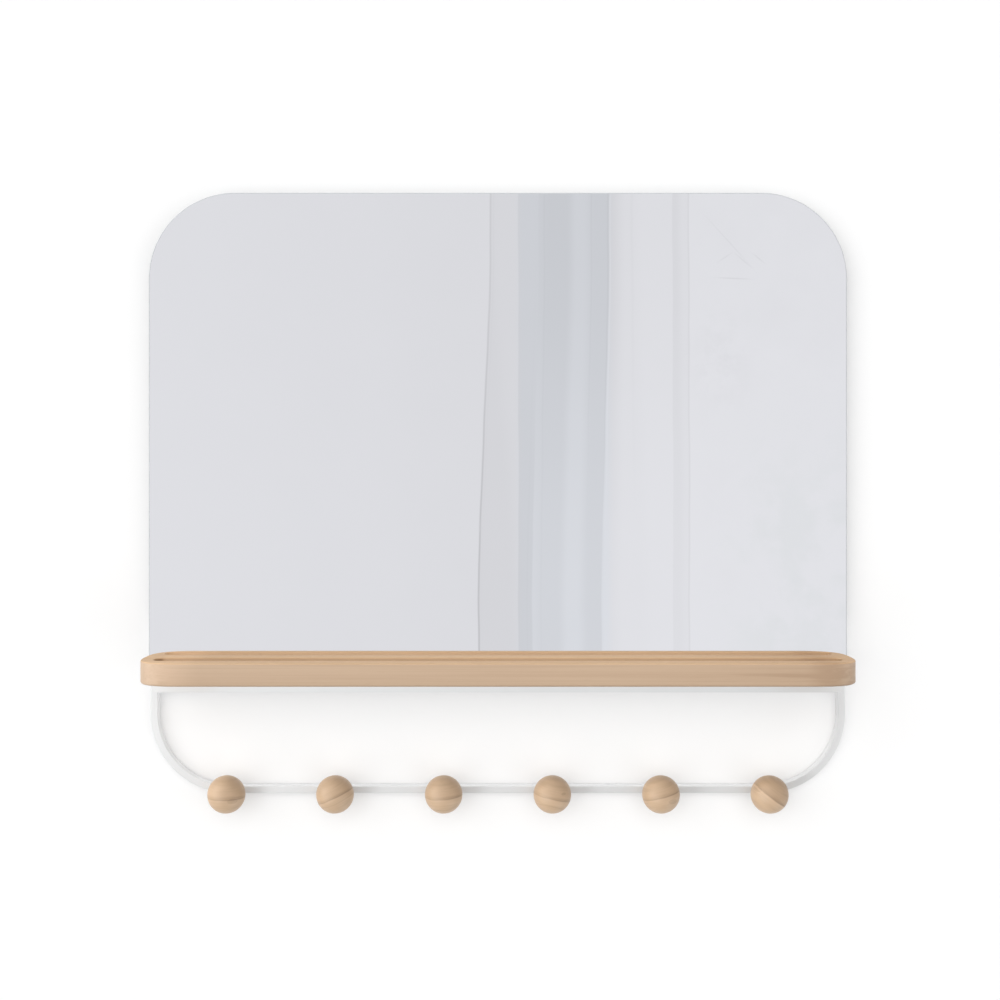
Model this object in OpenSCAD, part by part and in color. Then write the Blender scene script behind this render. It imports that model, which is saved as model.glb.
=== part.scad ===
// Wall mirror with a shelf and a row of ball hooks.
// X runs along the mirror, Y = 0 is the wall, the front faces -Y, and Z is up.
// The origin is midway between the two wall keyholes, in the plane of the wall.

/* [Mirror] */
// Width of the glass
mirror_w = 610; // [540:5:700]
// Height of glass that shows above the shelf
mirror_shown = 400; // [340:5:480]
// Height of the glass's top edge above the wall keyholes
mirror_rise = 90; // [60:5:120]
// Radius of the two top corners
mirror_corner_r = 75; // [30:5:110]
// Thickness of the glass
glass_t = 4; // [3:0.5:6]
// Width of the ground arris round the front edge
arris = 1; // [0.4:0.1:1.4]
// Thickness of the splinter film
film_t = 0.3; // [0.2:0.1:0.5]
// Distance of the film's edge from the glass's edge
film_inset = 3; // [1:0.5:8]

/* [Glass mounting] */
// Thickness of the foam tape
tape_t = 1.2; // [1.1:0.1:2]
// Width of one strip of tape
tape_w = 20; // [12:1:30]
// Number of strips
tape_count = 5; // [3:2:5]
// Distance between strips
tape_pitch = 120; // [110:5:125]
// Bare distance above and below each strip
tape_margin = 18; // [10:1:40]
// Thickness of the pads under the glass
pad_t = 1; // [0.5:0.5:3]
// Length of one pad
pad_l = 40; // [20:5:60]
// Distance between pads
pad_pitch = 190; // [100:5:220]

/* [Shelf] */
// Width of the shelf
shelf_w = 595; // [560:5:680]
// Depth of the shelf, front to back
shelf_d = 86; // [82:1:120]
// Thickness of the shelf
shelf_t = 19; // [16:1:25]
// Roundover of the shelf's edges
shelf_edge_r = 2; // [1:0.5:3]
// Squareness of the shelf's round ends, 2 for a plain ellipse
end_power = 3; // [2:0.25:4]
// Clearance between the shelf and the glass
shelf_gap = 0.3; // [0.2:0.1:1]
// Width of the rim behind the rear groove
rear_rim = 9; // [7:0.5:12]
// Width of each groove
groove_w = 20; // [17:1:21]
// Width of the flat rib between the grooves
rib_w = 19; // [14:1:20]
// Depth of each groove
groove_depth = 6; // [3:0.5:7]
// Wood left past each end of a groove
end_rim = 11.5; // [10:0.5:40]
// Corner radius of a groove
groove_corner_r = 8; // [4:0.5:8]

/* [Shelf bracket] */
// Thickness of the bracket's steel
bracket_t = 2.5; // [2:0.5:4]
// Width of the leg under the shelf
bracket_leg_w = 500; // [480:5:520]
// Depth of the leg under the shelf
bracket_leg_d = 68; // [60:1:74]
// Corner radius of the leg under the shelf
bracket_corner_r = 10; // [4:1:20]
// Distance of the lip leg's ends from the glass's edge
lip_inset = 2; // [1:0.5:10]
// Drop of the lip below the shelf
lip_drop = 18; // [17:1:30]
// Number of shelf screws
screw_count = 5; // [3:1:5]
// Distance between shelf screws
screw_pitch = 110; // [70:5:115]
// Thread diameter of a shelf screw
screw_d = 4; // [3:0.5:5]
// Head diameter of a shelf screw
screw_head_d = 8; // [7:0.5:9]
// Length of a shelf screw
screw_l = 15; // [10:1:16]

/* [Hoop] */
// Thickness of the flat bar, which is its face to the front
bar_t = 6; // [6:0.5:9]
// Depth of the flat bar
bar_depth = 10; // [9:0.5:10]
// Outer radius of the hoop's lower corners
hoop_corner_r = 70; // [30:5:75]
// Drop from the shelf's underside to the hoop's lowest edge
hoop_drop = 107; // [100:1:140]
// Height of the arms behind the back plate, above the lip's edge
hoop_rise = 62; // [56:1:90]
// Width of a tab
tab_w = 35; // [24:1:45]
// Height of a tab
tab_h = 50; // [40:1:54]
// Thickness of a tab
tab_t = 2; // [1.5:0.5:3]
// Corner radius of a tab
tab_corner_r = 4; // [1:0.5:8]
// Distance between the two studs of a tab
tab_stud_pitch = 26; // [16:1:30]
// Thread diameter of the tab studs
tab_stud_d = 4; // [3:0.5:5]
// Length of the tab studs
tab_stud_l = 8; // [7:0.5:9]
// Width across the flats of a tab nut
nut_flats = 7; // [6.5:0.5:9]
// Height of a tab nut
nut_h = 3.2; // [2.4:0.2:3.6]

/* [Ball hooks] */
// Diameter of a ball
ball_d = 32.5; // [26:0.5:45]
// Distance between balls
ball_pitch = 94; // [60:1:94]
// Diameter of the flat seat at the back of a ball
ball_seat_d = 11.5; // [10.5:0.5:16]
// Diameter of a collar
collar_d = 10; // [8:0.5:10]
// Length of a collar, the gap between bar and ball
collar_l = 3; // [2:0.5:15]
// Thread diameter of a hook stud
hook_stud_d = 4; // [3:0.5:4]
// Depth of a hook stud in the bar
stud_seat = 8; // [5:0.5:8.5]
// Diameter of an insert
insert_d = 6; // [5.5:0.5:8]
// Length of an insert
insert_l = 10; // [6:0.5:12]

/* [Back] */
// Thickness of the back plate
plate_t = 1.5; // [1:0.5:3]
// Distance of the back plate's edge from the glass's edge
plate_inset = 1; // [0.5:0.5:2]
// Distance from the wall to the back plate
stand_off = 10.5; // [10.5:0.5:16]
// Thickness of the rails' steel
rail_t = 1.5; // [1:0.5:2]
// Length of a rail
rail_l = 460; // [450:5:510]
// Height of a rail's raised web
web_h = 36; // [34:1:50]
// Height of a rail's foot
foot_h = 12; // [11:1:16]
// Distance between the two wall keyholes
keyhole_pitch = 406; // [390:1:410]
// Diameter of a keyhole's entry
keyhole_d = 9; // [8:0.5:11]
// Width of a keyhole's slot
keyhole_slot_w = 4.5; // [4:0.5:5.5]
// Rise of a keyhole's slot above its entry
keyhole_rise = 8; // [7:0.5:9]
// Drop from the keyholes to the middle of the lower rail
lower_rail_drop = 262; // [220:2:262]
// Diameter of a wall bumper
bumper_d = 14; // [10:1:20]
// Thickness of a wall bumper
bumper_t = 2; // [1.5:0.5:3]
// Distance between the wall bumpers
bumper_pitch = 400; // [300:10:410]
// Shank diameter of the rivets
rivet_d = 4; // [3:0.5:4]
// Head diameter of the rivets
rivet_head_d = 7; // [6:0.5:7]

/* [Hidden] */
$fn = 64;
hook_count = 6;
// Clearances and small thicknesses
thread_gap = 0.1;
hole_gap = 0.2;
bore_spare = 2;
rivet_head_t = 0.9;
rivet_tail_t = 1.4;
rivet_tail_d = rivet_d + 1.5;
rail_rivet_pitch = 120;
rail_rivet_count = 4;
bracket_rivet_pitch = 115;
bracket_rivet_count = 5;
// Distance that a cutter runs past the faces it cuts
over = 1;
// Steps of angle round the shelf's ends and its edge roundover
end_step = 5;
edge_step = 22.5;
// Planes parallel to the wall, from back to front
plate_back = -stand_off;
plate_front = plate_back - plate_t;
film_back = plate_front - tape_t;
glass_back = film_back - film_t;
glass_front = glass_back - glass_t;
shelf_back = glass_front - shelf_gap;
bar_front = plate_back;
collar_front = bar_front - collar_l;
// Distance from a ball's seat to its centre
ball_reach = sqrt(pow(ball_d / 2, 2) - pow(ball_seat_d / 2, 2));
// Levels, from top to bottom
mirror_top = mirror_rise;
shelf_top = mirror_top - mirror_shown;
shelf_low = shelf_top - shelf_t;
glass_low = shelf_low + pad_t;
lip_low = shelf_low - lip_drop;
hoop_low = shelf_low - hoop_drop;
hoop_top = lip_low + hoop_rise;
hook_level = hoop_low + bar_t / 2;
tab_level = hoop_top - tab_h / 2;
// Distance from the middle to the welds between the hoop's bar and arms, halfway between two hooks
hoop_seam = (hook_count / 2 - 1) * ball_pitch;
bracket_rivet_level = shelf_low - lip_drop / 2;
lower_rail_level = -lower_rail_drop;
// Grooves and shelf screws, measured from the wall
rear_groove_y = shelf_back - rear_rim - groove_w / 2;
front_groove_y = rear_groove_y - groove_w - rib_w;
screw_y = (rear_groove_y + front_groove_y) / 2;

// Centred positions of a row of copies
function row(count, pitch) = [for (i = [0:count - 1]) (i - (count - 1) / 2) * pitch];

// Sign-keeping power, which turns a circle's cosine and sine into a superellipse's
function squared(value) = sign(value) * pow(abs(value), 2 / end_power);

// Outline of the shelf seen from above, drawn in by inset all round: two superellipse halves
// of the shelf's own half depth, with a straight stretch between them
function shelf_outline(inset) =
    let (reach = shelf_d / 2 - inset, middle = (shelf_w - shelf_d) / 2)
    [for (end = [0, 180], angle = [-90:end_step:90])
        [sign(cos(end)) * middle + reach * squared(cos(end + angle)), reach * squared(sin(end + angle))]];

// Slab of width w and height h standing on the X axis, with its two far corners rounded
module arch(w, h, r) {
    translate([-w / 2, 0]) square([w, h - r]);
    translate([-w / 2 + r, 0]) square([w - 2 * r, h]);
    for (side = [-1, 1]) {
        translate([side * (w / 2 - r), h - r]) circle(r);
    }
}

// Slab with round corners in its first two directions, centred
module rounded_slab(size, r) {
    cube([size[0] - 2 * r, size[1], size[2]], center = true);
    cube([size[0], size[1] - 2 * r, size[2]], center = true);
    for (x = [-1, 1], y = [-1, 1]) {
        translate([x * (size[0] / 2 - r), y * (size[1] / 2 - r), 0])
            cylinder(h = size[2], r = r, center = true);
    }
}

// Stands a drawing up parallel to the wall: drawn x, y become X, Z, from y_back forwards by t
module standing(y_back, t) {
    translate([0, y_back, 0]) rotate([90, 0, 0]) linear_extrude(t) children();
}

// Round bar that points forwards, from y_back by its length
module forward_rod(d, y_back, l) {
    translate([0, y_back, 0]) rotate([90, 0, 0]) cylinder(h = l, d = d);
}

module place_each(count, pitch, level) {
    for (x = row(count, pitch)) {
        translate([x, 0, level]) children();
    }
}

// Rivet with its head at the front of a stack that starts at y_back
module rivet(y_back, grip) {
    forward_rod(rivet_tail_d, y_back + rivet_tail_t, rivet_tail_t);
    forward_rod(rivet_d, y_back, grip);
    forward_rod(rivet_head_d, y_back - grip, rivet_head_t);
}

// Cutter for a rivet's hole through a sheet that starts at y_back
module rivet_hole(y_back, t) {
    forward_rod(rivet_d + hole_gap, y_back + over, t + 2 * over);
}

// Section of a hat rail, with y the height and x the distance back from the plate
module hat_section(depth) {
    for (side = [-1, 1]) {
        translate([0, side * (web_h / 2 + foot_h / 2)]) square_at(rail_t, foot_h);
        translate([0, side * (web_h / 2 - rail_t / 2)]) square_at(depth, rail_t);
    }
    translate([depth - rail_t, 0]) square_at(rail_t, web_h);
}

// Rectangle that starts at x = 0 and is centred in y
module square_at(w, h) {
    translate([0, -h / 2]) square([w, h]);
}

// Hat rail with its feet on the back plate, drilled for its rivets
module rail(depth) {
    difference() {
        translate([-rail_l / 2, plate_back, 0])
            rotate([90, 0, 90]) linear_extrude(rail_l) hat_section(depth);
        at_rail_rivets() rivet_hole(plate_back + rail_t, rail_t);
    }
}

module at_rail_rivets() {
    for (side = [-1, 1]) {
        place_each(rail_rivet_count, rail_rivet_pitch, side * (web_h + foot_h) / 2) children();
    }
}

module at_bracket_rivets() {
    place_each(bracket_rivet_count, bracket_rivet_pitch, bracket_rivet_level) children();
}

module place_tab(side) {
    translate([side * (mirror_w / 2 - bar_t - tab_w / 2), 0, tab_level]) children();
}

module at_tab_studs() {
    for (end = [-1, 1]) {
        translate([0, 0, end * tab_stud_pitch / 2]) children();
    }
}

module at_hooks() {
    place_each(hook_count, ball_pitch, hook_level) children();
}

module at_hook(number) {
    translate([row(hook_count, ball_pitch)[number - 1], 0, hook_level]) children();
}

module at_shelf_screws() {
    for (x = row(screw_count, screw_pitch)) {
        translate([x, screw_y, shelf_low - bracket_t]) children();
    }
}

// Drawing of the glass's outline, drawn in by inset all round
module glass_outline(inset) {
    translate([0, glass_low + inset])
        arch(mirror_w - 2 * inset, mirror_top - glass_low - 2 * inset, mirror_corner_r - inset);
}

// Drawing of the hoop: a U of even thickness
module hoop_outline() {
    translate([0, hoop_top]) mirror([0, 1]) difference() {
        arch(mirror_w, hoop_top - hoop_low, hoop_corner_r);
        translate([0, -over])
            arch(mirror_w - 2 * bar_t, hoop_top - hoop_low - bar_t + over, hoop_corner_r - bar_t);
    }
}

// Half section of a ball, with x the distance from its axis and y the distance in front of its seat
module ball_section() {
    difference() {
        translate([0, ball_reach]) circle(d = ball_d);
        translate([-ball_d, -ball_d]) square([2 * ball_d, ball_d]);
        translate([-ball_d, -over]) square([ball_d, 2 * ball_d]);
        translate([0, -over]) square([(insert_d + thread_gap) / 2, insert_l + bore_spare + over]);
    }
}

module mirror_glass() {
    color("lightsteelblue") hull() {
        standing(glass_back, glass_t - arris) glass_outline(0);
        standing(glass_back, glass_t) glass_outline(arris);
    }
}

module safety_film() {
    color("gainsboro") standing(film_back, film_t) glass_outline(film_inset);
}

module mounting_tapes() {
    tape_low = glass_low + tape_margin;
    tape_h = mirror_top - tape_margin - tape_low;
    color("dimgray") place_each(tape_count, tape_pitch, tape_low)
        standing(plate_front, tape_t) translate([-tape_w / 2, 0]) square([tape_w, tape_h]);
}

module glass_pads() {
    color("black") place_each(3, pad_pitch, shelf_low)
        standing(glass_back, glass_t) translate([-pad_l / 2, 0]) square([pad_l, pad_t]);
}

module back_plate() {
    plate_w = mirror_w - 2 * plate_inset;
    color("white") difference() {
        standing(plate_back, plate_t) translate([0, lip_low])
            arch(plate_w, mirror_top - plate_inset - lip_low, mirror_corner_r - plate_inset);
        for (level = [0, lower_rail_level]) {
            translate([0, 0, level]) at_rail_rivets() rivet_hole(plate_back, plate_t);
        }
        at_bracket_rivets() rivet_hole(plate_back, plate_t);
    }
}

module shelf_bracket() {
    head_h = (screw_head_d - screw_d) / 2;
    lip_w = mirror_w - 2 * lip_inset;
    color("white") difference() {
        union() {
            translate([0, plate_front, shelf_low - bracket_t]) linear_extrude(bracket_t)
                mirror([0, 1]) arch(bracket_leg_w, bracket_leg_d, bracket_corner_r);
            translate([-lip_w / 2, plate_front - bracket_t, lip_low]) cube([lip_w, bracket_t, lip_drop]);
        }
        at_shelf_screws() {
            translate([0, 0, -over]) cylinder(h = bracket_t + 2 * over, d = screw_d + hole_gap);
            cylinder(h = head_h, d1 = screw_head_d + hole_gap, d2 = screw_d + hole_gap);
        }
        at_bracket_rivets() rivet_hole(plate_front, bracket_t);
    }
}

module bracket_rivets() {
    color("silver") at_bracket_rivets() rivet(plate_back, plate_t + bracket_t);
}

module shelf() {
    groove_l = shelf_w - 2 * end_rim;
    color("burlywood") difference() {
        translate([0, shelf_back - shelf_d / 2, shelf_top - shelf_t / 2]) hull() {
            for (angle = [0:edge_step:90]) {
                linear_extrude(shelf_t - 2 * shelf_edge_r * (1 - sin(angle)), center = true)
                    polygon(shelf_outline(shelf_edge_r * (1 - cos(angle))));
            }
        }
        for (y = [rear_groove_y, front_groove_y]) {
            translate([0, y, shelf_top])
                rounded_slab([groove_l, groove_w, 2 * groove_depth], groove_corner_r);
        }
        at_shelf_screws() cylinder(h = screw_l + bore_spare, d = screw_d + hole_gap);
    }
}

module shelf_screws() {
    head_h = (screw_head_d - screw_d) / 2;
    tip_h = 3;
    tip_d = 1;
    color("silver") at_shelf_screws() {
        cylinder(h = head_h, d1 = screw_head_d, d2 = screw_d);
        translate([0, 0, head_h]) cylinder(h = screw_l - head_h - tip_h, d = screw_d);
        translate([0, 0, screw_l - tip_h]) cylinder(h = tip_h, d1 = screw_d, d2 = tip_d);
    }
}

// Stretch of the hoop from x = low to x = high, drilled for its hooks
module hoop_stretch(low, high) {
    color("white") difference() {
        standing(bar_front + bar_depth, bar_depth) intersection() {
            hoop_outline();
            translate([low, hoop_low - over]) square([high - low, hoop_top - hoop_low + 2 * over]);
        }
        at_hooks() forward_rod(hook_stud_d + thread_gap, bar_front + stud_seat, stud_seat + over);
    }
}

module hoop_bar() {
    hoop_stretch(-hoop_seam, hoop_seam);
}

// Tab welded to one arm of the hoop: side is -1 for the left arm and 1 for the right
module hoop_tab(side) {
    color("white") place_tab(side) difference() {
        translate([0, plate_back + tab_t / 2, 0]) rotate([90, 0, 0])
            rounded_slab([tab_w, tab_h, tab_t], tab_corner_r);
        at_tab_studs() forward_rod(tab_stud_d + hole_gap, plate_back + tab_t + over, tab_t + 2 * over);
    }
}

module hoop_studs() {
    color("silver") for (side = [-1, 1]) {
        place_tab(side) at_tab_studs() forward_rod(tab_stud_d, plate_back + tab_stud_l, tab_stud_l);
    }
}

module hoop_nuts() {
    nut_back = plate_back + tab_t + nut_h;
    color("silver") for (side = [-1, 1]) {
        place_tab(side) at_tab_studs() difference() {
            translate([0, nut_back, 0]) rotate([90, 0, 0])
                cylinder(h = nut_h, d = nut_flats / cos(30), $fn = 6);
            forward_rod(tab_stud_d + thread_gap, nut_back + over, nut_h + 2 * over);
        }
    }
}

module ball(number) {
    color("burlywood") at_hook(number) translate([0, collar_front, 0])
        rotate([90, 0, 0]) rotate_extrude($fn = 96) ball_section();
}

module collar(number) {
    color("white") at_hook(number) difference() {
        forward_rod(collar_d, bar_front, collar_l);
        forward_rod(hook_stud_d + thread_gap, bar_front + over, collar_l + 2 * over);
    }
}

module hook_studs() {
    color("silver") at_hooks()
        forward_rod(hook_stud_d, bar_front + stud_seat, stud_seat + collar_l + insert_l);
}

module ball_inserts() {
    color("goldenrod") at_hooks() difference() {
        forward_rod(insert_d, collar_front, insert_l);
        forward_rod(hook_stud_d + thread_gap, collar_front + over, insert_l + 2 * over);
    }
}

module hanger_rail() {
    color("white") difference() {
        rail(stand_off);
        place_each(2, keyhole_pitch, 0) {
            forward_rod(keyhole_d, over, rail_t + 2 * over);
            translate([0, 0, keyhole_rise]) forward_rod(keyhole_slot_w, over, rail_t + 2 * over);
            translate([-keyhole_slot_w / 2, -rail_t - over, 0])
                cube([keyhole_slot_w, rail_t + 2 * over, keyhole_rise]);
        }
    }
}

module lower_rail() {
    color("white") translate([0, 0, lower_rail_level]) rail(stand_off - bumper_t);
}

module rail_rivets() {
    color("silver") for (level = [0, lower_rail_level]) {
        translate([0, 0, level]) at_rail_rivets() rivet(plate_back + rail_t, rail_t + plate_t);
    }
}

module wall_bumpers() {
    color("dimgray") place_each(2, bumper_pitch, lower_rail_level) forward_rod(bumper_d, 0, bumper_t);
}

mirror_glass();
safety_film();
mounting_tapes();
glass_pads();
back_plate();
shelf_bracket();
bracket_rivets();
shelf();
shelf_screws();
hoop_bar();
hoop_stretch(-mirror_w, -hoop_seam);  // hoop_arm_left
hoop_stretch(hoop_seam, mirror_w);  // hoop_arm_right
hoop_tab(-1);  // hoop_tab_left
hoop_tab(1);  // hoop_tab_right
hoop_studs();
hoop_nuts();
ball(1);  // ball_1
ball(2);  // ball_2
ball(3);  // ball_3
ball(4);  // ball_4
ball(5);  // ball_5
ball(6);  // ball_6
collar(1);  // collar_1
collar(2);  // collar_2
collar(3);  // collar_3
collar(4);  // collar_4
collar(5);  // collar_5
collar(6);  // collar_6
hook_studs();
ball_inserts();
hanger_rail();
lower_rail();
rail_rivets();
wall_bumpers();
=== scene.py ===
"""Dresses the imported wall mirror: a frameless mirror, a grooved shelf, and a hoop with ball hooks."""

import math

import bmesh
import bpy
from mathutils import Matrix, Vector


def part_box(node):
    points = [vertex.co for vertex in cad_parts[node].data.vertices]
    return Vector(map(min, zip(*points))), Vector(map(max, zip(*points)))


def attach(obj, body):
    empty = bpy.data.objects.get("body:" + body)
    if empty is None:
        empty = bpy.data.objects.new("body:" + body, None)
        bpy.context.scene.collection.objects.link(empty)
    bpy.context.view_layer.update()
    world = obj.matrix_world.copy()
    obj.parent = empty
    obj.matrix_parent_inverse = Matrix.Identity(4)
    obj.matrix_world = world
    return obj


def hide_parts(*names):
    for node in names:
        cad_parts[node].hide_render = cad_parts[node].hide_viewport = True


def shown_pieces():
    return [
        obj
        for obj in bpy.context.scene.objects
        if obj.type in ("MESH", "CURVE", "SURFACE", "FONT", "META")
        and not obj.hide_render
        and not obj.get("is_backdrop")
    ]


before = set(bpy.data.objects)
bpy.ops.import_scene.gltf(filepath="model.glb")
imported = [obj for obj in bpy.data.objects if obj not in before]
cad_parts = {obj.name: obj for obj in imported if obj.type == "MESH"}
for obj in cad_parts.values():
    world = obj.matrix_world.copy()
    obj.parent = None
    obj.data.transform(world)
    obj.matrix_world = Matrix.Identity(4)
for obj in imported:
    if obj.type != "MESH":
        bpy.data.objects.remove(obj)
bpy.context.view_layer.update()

bl_info = {
    "name": "Wall mirror with shelf and ball hooks",
    "version": (1, 0, 0),
    "blender": (4, 5, 0),
    "location": "3D View > Sidebar > Wall mirror",
    "description": "Builds the glass, shelf, hoop, ball hooks and fixings of a wall mirror",
    "category": "Object",
}

BODY = "root"
MM = 0.001
EPS = 1e-7  # metres that count as nothing
SHARP = 32.0  # degrees from which an edge shows as sharp
HOOKS = 6  # balls, each with its collar, stud and insert
BRACKET_FIXINGS = 5  # rivets of the shelf bracket, and as many screws up into the shelf
RAIL_FIXINGS = 4  # rivets in each of the two rows of a wall rail


# ---------------------------------------------------------------- settings


def length(name, description, default):
    """A setting that is a length in metres."""
    return bpy.props.FloatProperty(
        name=name, description=description, default=default, min=0.0, unit="LENGTH", precision=5
    )


def colour(name, description, default):
    """A setting that is a linear colour."""
    return bpy.props.FloatVectorProperty(
        name=name, description=description, default=default, size=3, min=0.0, max=1.0, subtype="COLOR"
    )


def share(name, description, default, most=1.0):
    """A setting that is a plain number."""
    return bpy.props.FloatProperty(
        name=name, description=description, default=default, min=0.0, max=most
    )


class MirrorSizes(bpy.types.PropertyGroup):
    """Sizes of the details that the pieces get over the plain solids."""

    corner_r: length("Glass corner", "Radius of the glass's top corners", 75 * MM)
    arris: length("Glass arris", "Width of the ground arris round the glass", 1 * MM)
    shelf_edge: length("Shelf lower roundover", "Roundover of the shelf's lower edge", 1.8 * MM)
    shelf_top_edge: length("Shelf upper roundover", "Roundover of the shelf's upper edge", 1.0 * MM)
    groove_w: length("Groove width", "Width of each groove", 20 * MM)
    groove_end: length("Groove end", "Distance of a groove's end from the shelf's middle", 286 * MM)
    groove_depth: length("Groove depth", "Depth of each groove", 6 * MM)
    groove_corner: length("Groove corner", "Corner radius of a groove in plan", 8 * MM)
    groove_arris: length("Groove arris", "Roundover of a groove's upper edge", 0.4 * MM)
    rear_groove_y: length("Rear groove", "Distance of the rear groove from the wall", 36.8 * MM)
    front_groove_y: length("Front groove", "Distance of the front groove from the wall", 75.8 * MM)
    bar_face: length("Bar face", "Width of the hoop's face to the front", 6 * MM)
    bar_edge: length("Bar edge", "Edge radius of the hoop's flat bar", 0.7 * MM)
    hoop_corner: length("Hoop corner", "Outer radius of the hoop's lower corners", 70 * MM)
    ball_seat: length("Ball seat", "Radius of the flat seat at the back of a ball", 5.75 * MM)
    insert_bore: length("Insert bore", "Radius of the bore that holds a ball's insert", 3.05 * MM)
    bore_l: length("Bore length", "Length of the bore that holds a ball's insert", 12 * MM)
    thread_pitch: length("Thread pitch", "Distance between two turns of a thread", 0.7 * MM)
    shank_r: length("Shank", "Radius of the rivets', studs' and screws' shanks", 2 * MM)
    stud_bore: length("Stud bore", "Radius of the bores that take a stud", 2.05 * MM)
    nut_flats: length("Nut", "Width of the nuts across their flats", 7 * MM)
    rivet_head_r: length("Rivet head", "Radius of a rivet's domed head", 3.5 * MM)
    rivet_tail_r: length("Rivet tail", "Radius of a rivet's set tail", 2.75 * MM)
    screw_head_r: length("Screw head", "Radius of a countersunk screw's head", 4 * MM)
    insert_r: length("Insert", "Radius of a ball's threaded insert", 3 * MM)


class MirrorFinishes(bpy.types.PropertyGroup):
    """Colours of the finishes, as linear values."""

    silver: colour("Silvering", "Reflection of the silvered glass", (0.870, 0.872, 0.900))
    glass_edge: colour("Glass edge", "Ground and polished edge of the glass", (0.56, 0.58, 0.60))
    shelf_pale: colour("Shelf, pale", "Pale grain of the shelf", (0.502, 0.359, 0.243))
    shelf_dark: colour("Shelf, dark", "Dark grain of the shelf", (0.374, 0.249, 0.157))
    ball_pale: colour("Balls, pale", "Pale grain of the balls", (0.606, 0.424, 0.270))
    ball_dark: colour("Balls, dark", "Growth lines of the balls", (0.340, 0.220, 0.130))
    coat: colour("Powder coat", "White powder coat", (0.794, 0.800, 0.804))
    zinc: colour("Zinc", "Zinc plated steel", (0.56, 0.57, 0.59))
    brass: colour("Brass", "Turned brass", (0.62, 0.43, 0.16))
    rubber: colour("Rubber", "Pads and bumpers", (0.030, 0.030, 0.032))
    foam: colour("Foam tape", "Closed-cell foam", (0.10, 0.10, 0.105))
    film: colour("Film", "Splinter film on the glass's back", (0.56, 0.60, 0.64))


class MirrorStage(bpy.types.PropertyGroup):
    """Camera, lamps and wall."""

    eye_y: length("Eye distance", "Distance of the camera from the wall", 1.2305)
    eye_drop: length("Eye drop", "Depth of the camera below the wall keyholes", 0.161)
    lens: share("Lens", "Focal length in millimetres on a 36 mm sensor", 50.0, 200.0)
    world: share("Sky light", "Strength of the even light from all sides", 0.48, 3.0)
    wall_light: share("Wall light", "Level of the lamps that light the wall", 1.0, 3.0)
    shelf_light: share("Shelf light", "Level of the lamps that light the shelf", 1.0, 3.0)
    ball_light: share("Ball light", "Level of the lamps that light the balls", 1.0, 3.0)
    steel_light: share("Steel light", "Level of the lamps that light the other pieces", 1.0, 3.0)
    back_light: share("Back light", "Level of the lamp behind, which only the back shows", 1.0, 3.0)
    wall: colour("Wall", "Colour of the wall", (0.985, 0.985, 0.985))


# ---------------------------------------------------------------- node graphs


class Value:
    """A socket of a node graph that takes part in sums: a sum adds its Math nodes."""

    def __init__(self, graph, socket):
        self.graph = graph
        self.socket = socket

    def math(self, operation, *terms, clamp=False):
        kind = {"operation": operation, "use_clamp": clamp}
        return self.graph.add("ShaderNodeMath", kind, dict(enumerate(terms)))

    def __add__(self, other):
        return self.math("ADD", self, other)

    def __radd__(self, other):
        return self.math("ADD", other, self)

    def __sub__(self, other):
        return self.math("SUBTRACT", self, other)

    def __rsub__(self, other):
        return self.math("SUBTRACT", other, self)

    def __mul__(self, other):
        return self.math("MULTIPLY", self, other)

    def __rmul__(self, other):
        return self.math("MULTIPLY", other, self)

    def __truediv__(self, other):
        return self.math("DIVIDE", self, other)

    def __rtruediv__(self, other):
        return self.math("DIVIDE", other, self)

    def size(self):
        return self.math("ABSOLUTE", self)

    def root(self):
        return self.math("SQRT", self)

    def sine(self):
        return self.math("SINE", self)

    def held(self):
        """The value, held between 0 and 1."""
        return self.math("ADD", self, 0.0, clamp=True)

    def ramp(self, low, high, start=0.0, end=1.0):
        """Runs smoothly from start to end as the value goes from low to high."""
        ranges = {1: low, 2: high, 3: start, 4: end, 0: self}
        return self.graph.add("ShaderNodeMapRange", {"interpolation_type": "SMOOTHSTEP"}, ranges)

    def ridge(self, middle, width):
        """1 where the value is at middle, falling smoothly to 0 at width on either side."""
        return (self - middle).size().ramp(0.0, width, 1.0, 0.0)


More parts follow.
